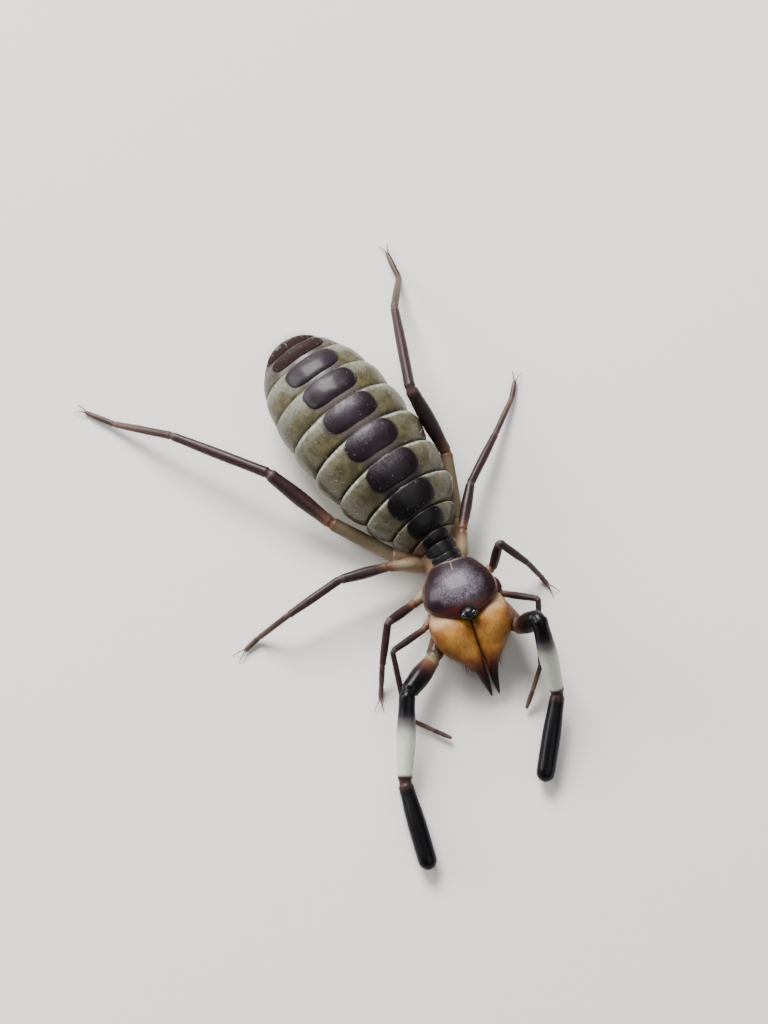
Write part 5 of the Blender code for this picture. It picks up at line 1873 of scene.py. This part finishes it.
def with_growth(mesh: Mesh, chosen: Growth) -> Mesh:
    """Copies a mesh and sets where a coat grows on it.

    Args:
        mesh: The surface.
        chosen: Works out the growth at each point from the mesh's own values and places.

    Returns:
        The copy, with its growth value.
    """
    copy = mesh.copy()
    count = len(copy.vertices)
    read = {"place": np.zeros(count * 3)}
    copy.vertices.foreach_get("co", read["place"])
    read["place"] = read["place"].reshape(-1, 3) / MM - ANIMAL.shift
    for attribute in copy.attributes:
        if attribute.domain == "POINT" and attribute.data_type == "FLOAT":
            read[attribute.name] = np.zeros(count)
            attribute.data.foreach_get("value", read[attribute.name])
    growth = np.asarray(chosen(read), dtype=np.float32)
    if "growth" in copy.attributes:
        copy.attributes.remove(copy.attributes["growth"])
    copy.attributes.new("growth", "FLOAT", "POINT").data.foreach_set("value", growth)
    return copy


def aim(made: Object, place: Vector, back: Vector) -> None:
    """Places a camera or a light that looks against the given way."""
    made.location = place
    made.rotation_mode = "QUATERNION"
    made.rotation_quaternion = (-back).to_track_quat("-Z", "Y")


@dataclass(frozen=True)
class SoftLight:
    """One soft square light that looks at the animal, with its angles in degrees."""

    name: str
    azimuth: float
    elevation: float
    distance: float
    size: float
    power: float

    def make(self) -> None:
        """Adds the light."""
        way = Vector(direction(math.radians(self.azimuth), math.radians(self.elevation)))
        data = bpy.data.lights.new(self.name, "AREA")
        data.size = self.size
        data.energy = self.power
        aim(linked(self.name, data), way * self.distance, way)


@dataclass
class Studio:
    """The floor, the soft lights and the camera at the photograph's angle."""

    elevation: float = math.radians(70)
    azimuth: float = math.radians(-30)
    distance: float = 180.0
    focus: Vector = Vector((-1.913, 3.613, 2.0))
    pixels_per_mm: float = 16.0
    sensor: float = 36.0
    nearest: float = 0.01
    farthest: float = 5.0
    floor_size: float = 1.5
    soft_lights: tuple[SoftLight, ...] = (
        SoftLight("key", 172.0, 43.0, 0.5, 0.24, 6.5),
        SoftLight("side", -138.0, 27.0, 0.5, 0.25, 2.2),
        SoftLight("fill", 30.0, 55.0, 0.6, 0.5, 1.2),
    )
    sky_colour: Colour = (0.9, 0.93, 1.0)
    sky_strength: float = 0.28

    def camera(self) -> None:
        """Places the camera so that the animal fills the frame as in the photograph."""
        back = Vector(direction(self.azimuth, self.elevation))
        data = bpy.data.cameras.new("camera")
        data.sensor_width = self.sensor
        data.lens = self.sensor * self.distance * self.pixels_per_mm / max(IMAGE_WIDTH, IMAGE_HEIGHT)
        data.clip_start = self.nearest
        data.clip_end = self.farthest
        made = linked("camera", data)
        aim(made, (self.focus + back * self.distance + Vector(ANIMAL.shift)) * MM, back)
        bpy.context.scene.camera = made

    def floor(self) -> None:
        """Lays the pale floor."""
        shape = bmesh.new()
        bmesh.ops.create_grid(shape, x_segments=2, y_segments=2, size=self.floor_size)
        mesh = bpy.data.meshes.new("floor")
        shape.to_mesh(mesh)
        shape.free()
        mesh.materials.append(material_of(FLOOR))
        made = linked("floor", mesh)

    def lights(self) -> None:
        """Adds the key from behind the animal, a fill from the front and an even sky."""
        for light in self.soft_lights:
            light.make()
        world = bpy.data.worlds.new("sky")
        bpy.context.scene.world = world
        world.use_nodes = True
        sky = world.node_tree.nodes["Background"]
        sky.inputs["Color"].default_value = (*self.sky_colour, 1.0)
        sky.inputs["Strength"].default_value = self.sky_strength

    def set_up(self) -> None:
        """Sets up the whole studio."""
        self.floor()
        self.lights()
        self.camera()


def soft_nodes() -> list[str]:
    """Gives the frame's nodes of flesh, which the one skin stands for."""
    kept = ("eye", "chelicera", "movable")
    return [name for name in sorted(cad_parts) if not name.startswith(kept)]


def make_skin(abdomen: Abdomen, prosoma: Prosoma, limbs: Sequence[Limb]) -> Mesh:
    """Makes the one skin of the abdomen, the front body and all the limbs."""
    shape = Shape()
    abdomen.add_skin(shape)
    prosoma.add_skin(shape)
    for limb in limbs:
        limb.add_path(shape)
    mesh = shape.mesh("skin")
    for finish in (PLEURA, MEMBRANE, LIMB, PALP):
        mesh.materials.append(material_of(finish))
    grown = limb_tree().grow(mesh, {
        "Sides": 18,
        "Material": material_of(LIMB),
        "Palp Material": material_of(PALP),
    })
    grown.name = "skin"
    return grown


VELVET_START = 0.76
LEG_HAIR_RUN = (0.1, 0.97)
LEG_HAIR_HEIGHT = 0.25
SIDE_HAIR_FRONT = 0.4
SIDE_HAIR_HEIGHT = 0.4
TAIL_HAIR_START = 15.4


def on_palps(read: Values) -> Array:
    """Tells where the velvet grows: on the black ends of the palps."""
    return (read["limb"] == PALP_NUMBER) * eased((read["run"] - VELVET_START) / 0.02)


def on_legs(read: Values) -> Array:
    """Tells where the legs' bristles grow: between the hips and the feet, off the floor."""
    low, high = LEG_HAIR_RUN
    raised = read["place"][:, 2] > LEG_HAIR_HEIGHT
    return (read["limb"] == LEG_NUMBER) * eased((read["run"] - low) / 0.1) * (read["run"] < high) * raised


def on_flanks(read: Values) -> Array:
    """Tells where the abdomen's own bristles grow: beside the plates, off the floor."""
    behind = read["place"][:, 1] > SIDE_HAIR_FRONT
    raised = read["place"][:, 2] > SIDE_HAIR_HEIGHT
    return (read["limb"] == 0.0) * behind * (1.0 - read["strip"]) * raised


def on_tail(read: Values) -> Array:
    """Tells where the longer bristles grow: on the last plates."""
    return read["growth"] * eased((read["place"][:, 1] - TAIL_HAIR_START) / 0.5)


def all_over(read: Values) -> Array:
    """Tells where a piece has hairs at all."""
    return read["growth"]


def in_brush(read: Values) -> Array:
    """Tells where the pincers' long bristles grow."""
    return read["brush"]


def grow_coats(skin: Mesh, plates: Mesh, hands: Sequence[Mesh]) -> None:
    """Grows the bristles of the back, the limbs and the two pincer hands."""
    coats = [
        (Coat("palp_velvet", 230.0, 0.085, 0.005, 0.5, BLACK_HAIR, seed=5), skin, on_palps),
        (Coat("limb_bristles", 6.0, 0.26, 0.01, 1.0, BROWN_HAIR, seed=8), skin, on_legs),
        (Coat("back_bristles", 1.6, 0.16, 0.007, 1.4, PALE_HAIR, spread=0.5, seed=12), plates, all_over),
        (Coat("side_bristles", 2.2, 0.27, 0.008, 1.0, PALE_HAIR, spread=0.5, seed=14), skin, on_flanks),
        (Coat("rear_bristles", 26.0, 0.42, 0.013, 0.7, PALE_HAIR, spread=0.4, seed=17), plates, on_tail),
    ]
    for number, hand in enumerate(hands):
        down = Coat(f"pincer_down_{number}", 24.0, 0.22, 0.009, 1.5, RED_HAIR, seed=21 + number)
        brush = Coat(f"pincer_brush_{number}", 16.0, 0.7, 0.014, 1.4, RED_HAIR, seed=31 + number)
        coats += [(down, hand, all_over), (brush, hand, in_brush)]
    tree = bristle_tree()
    for coat, surface, chosen in coats:
        coat.grow(tree, with_growth(surface, chosen))


def main() -> None:
    """Builds the animal piece by piece and sets up the studio."""
    logging.basicConfig(level=logging.INFO, format="%(message)s")
    abdomen = Abdomen()
    limbs = [Limb(kind, side, 4 + number) for number, (kind, side) in enumerate(STANCES)]
    prosoma = Prosoma()
    mesh = make_skin(abdomen, prosoma, limbs)
    finished("skin", mesh, [], soft_nodes())
    plates = abdomen.plates()
    prosoma.plates()
    prosoma.mouthparts()
    shield = Shield()
    shield.make()
    shield.eyes()
    hands = [Pincer(name, side).make()[0].data for name, side in SIDES]
    Claws().make(limbs)
    grow_coats(mesh, plates.data, hands)
    Studio().set_up()


if __name__ == "__main__":
    main()
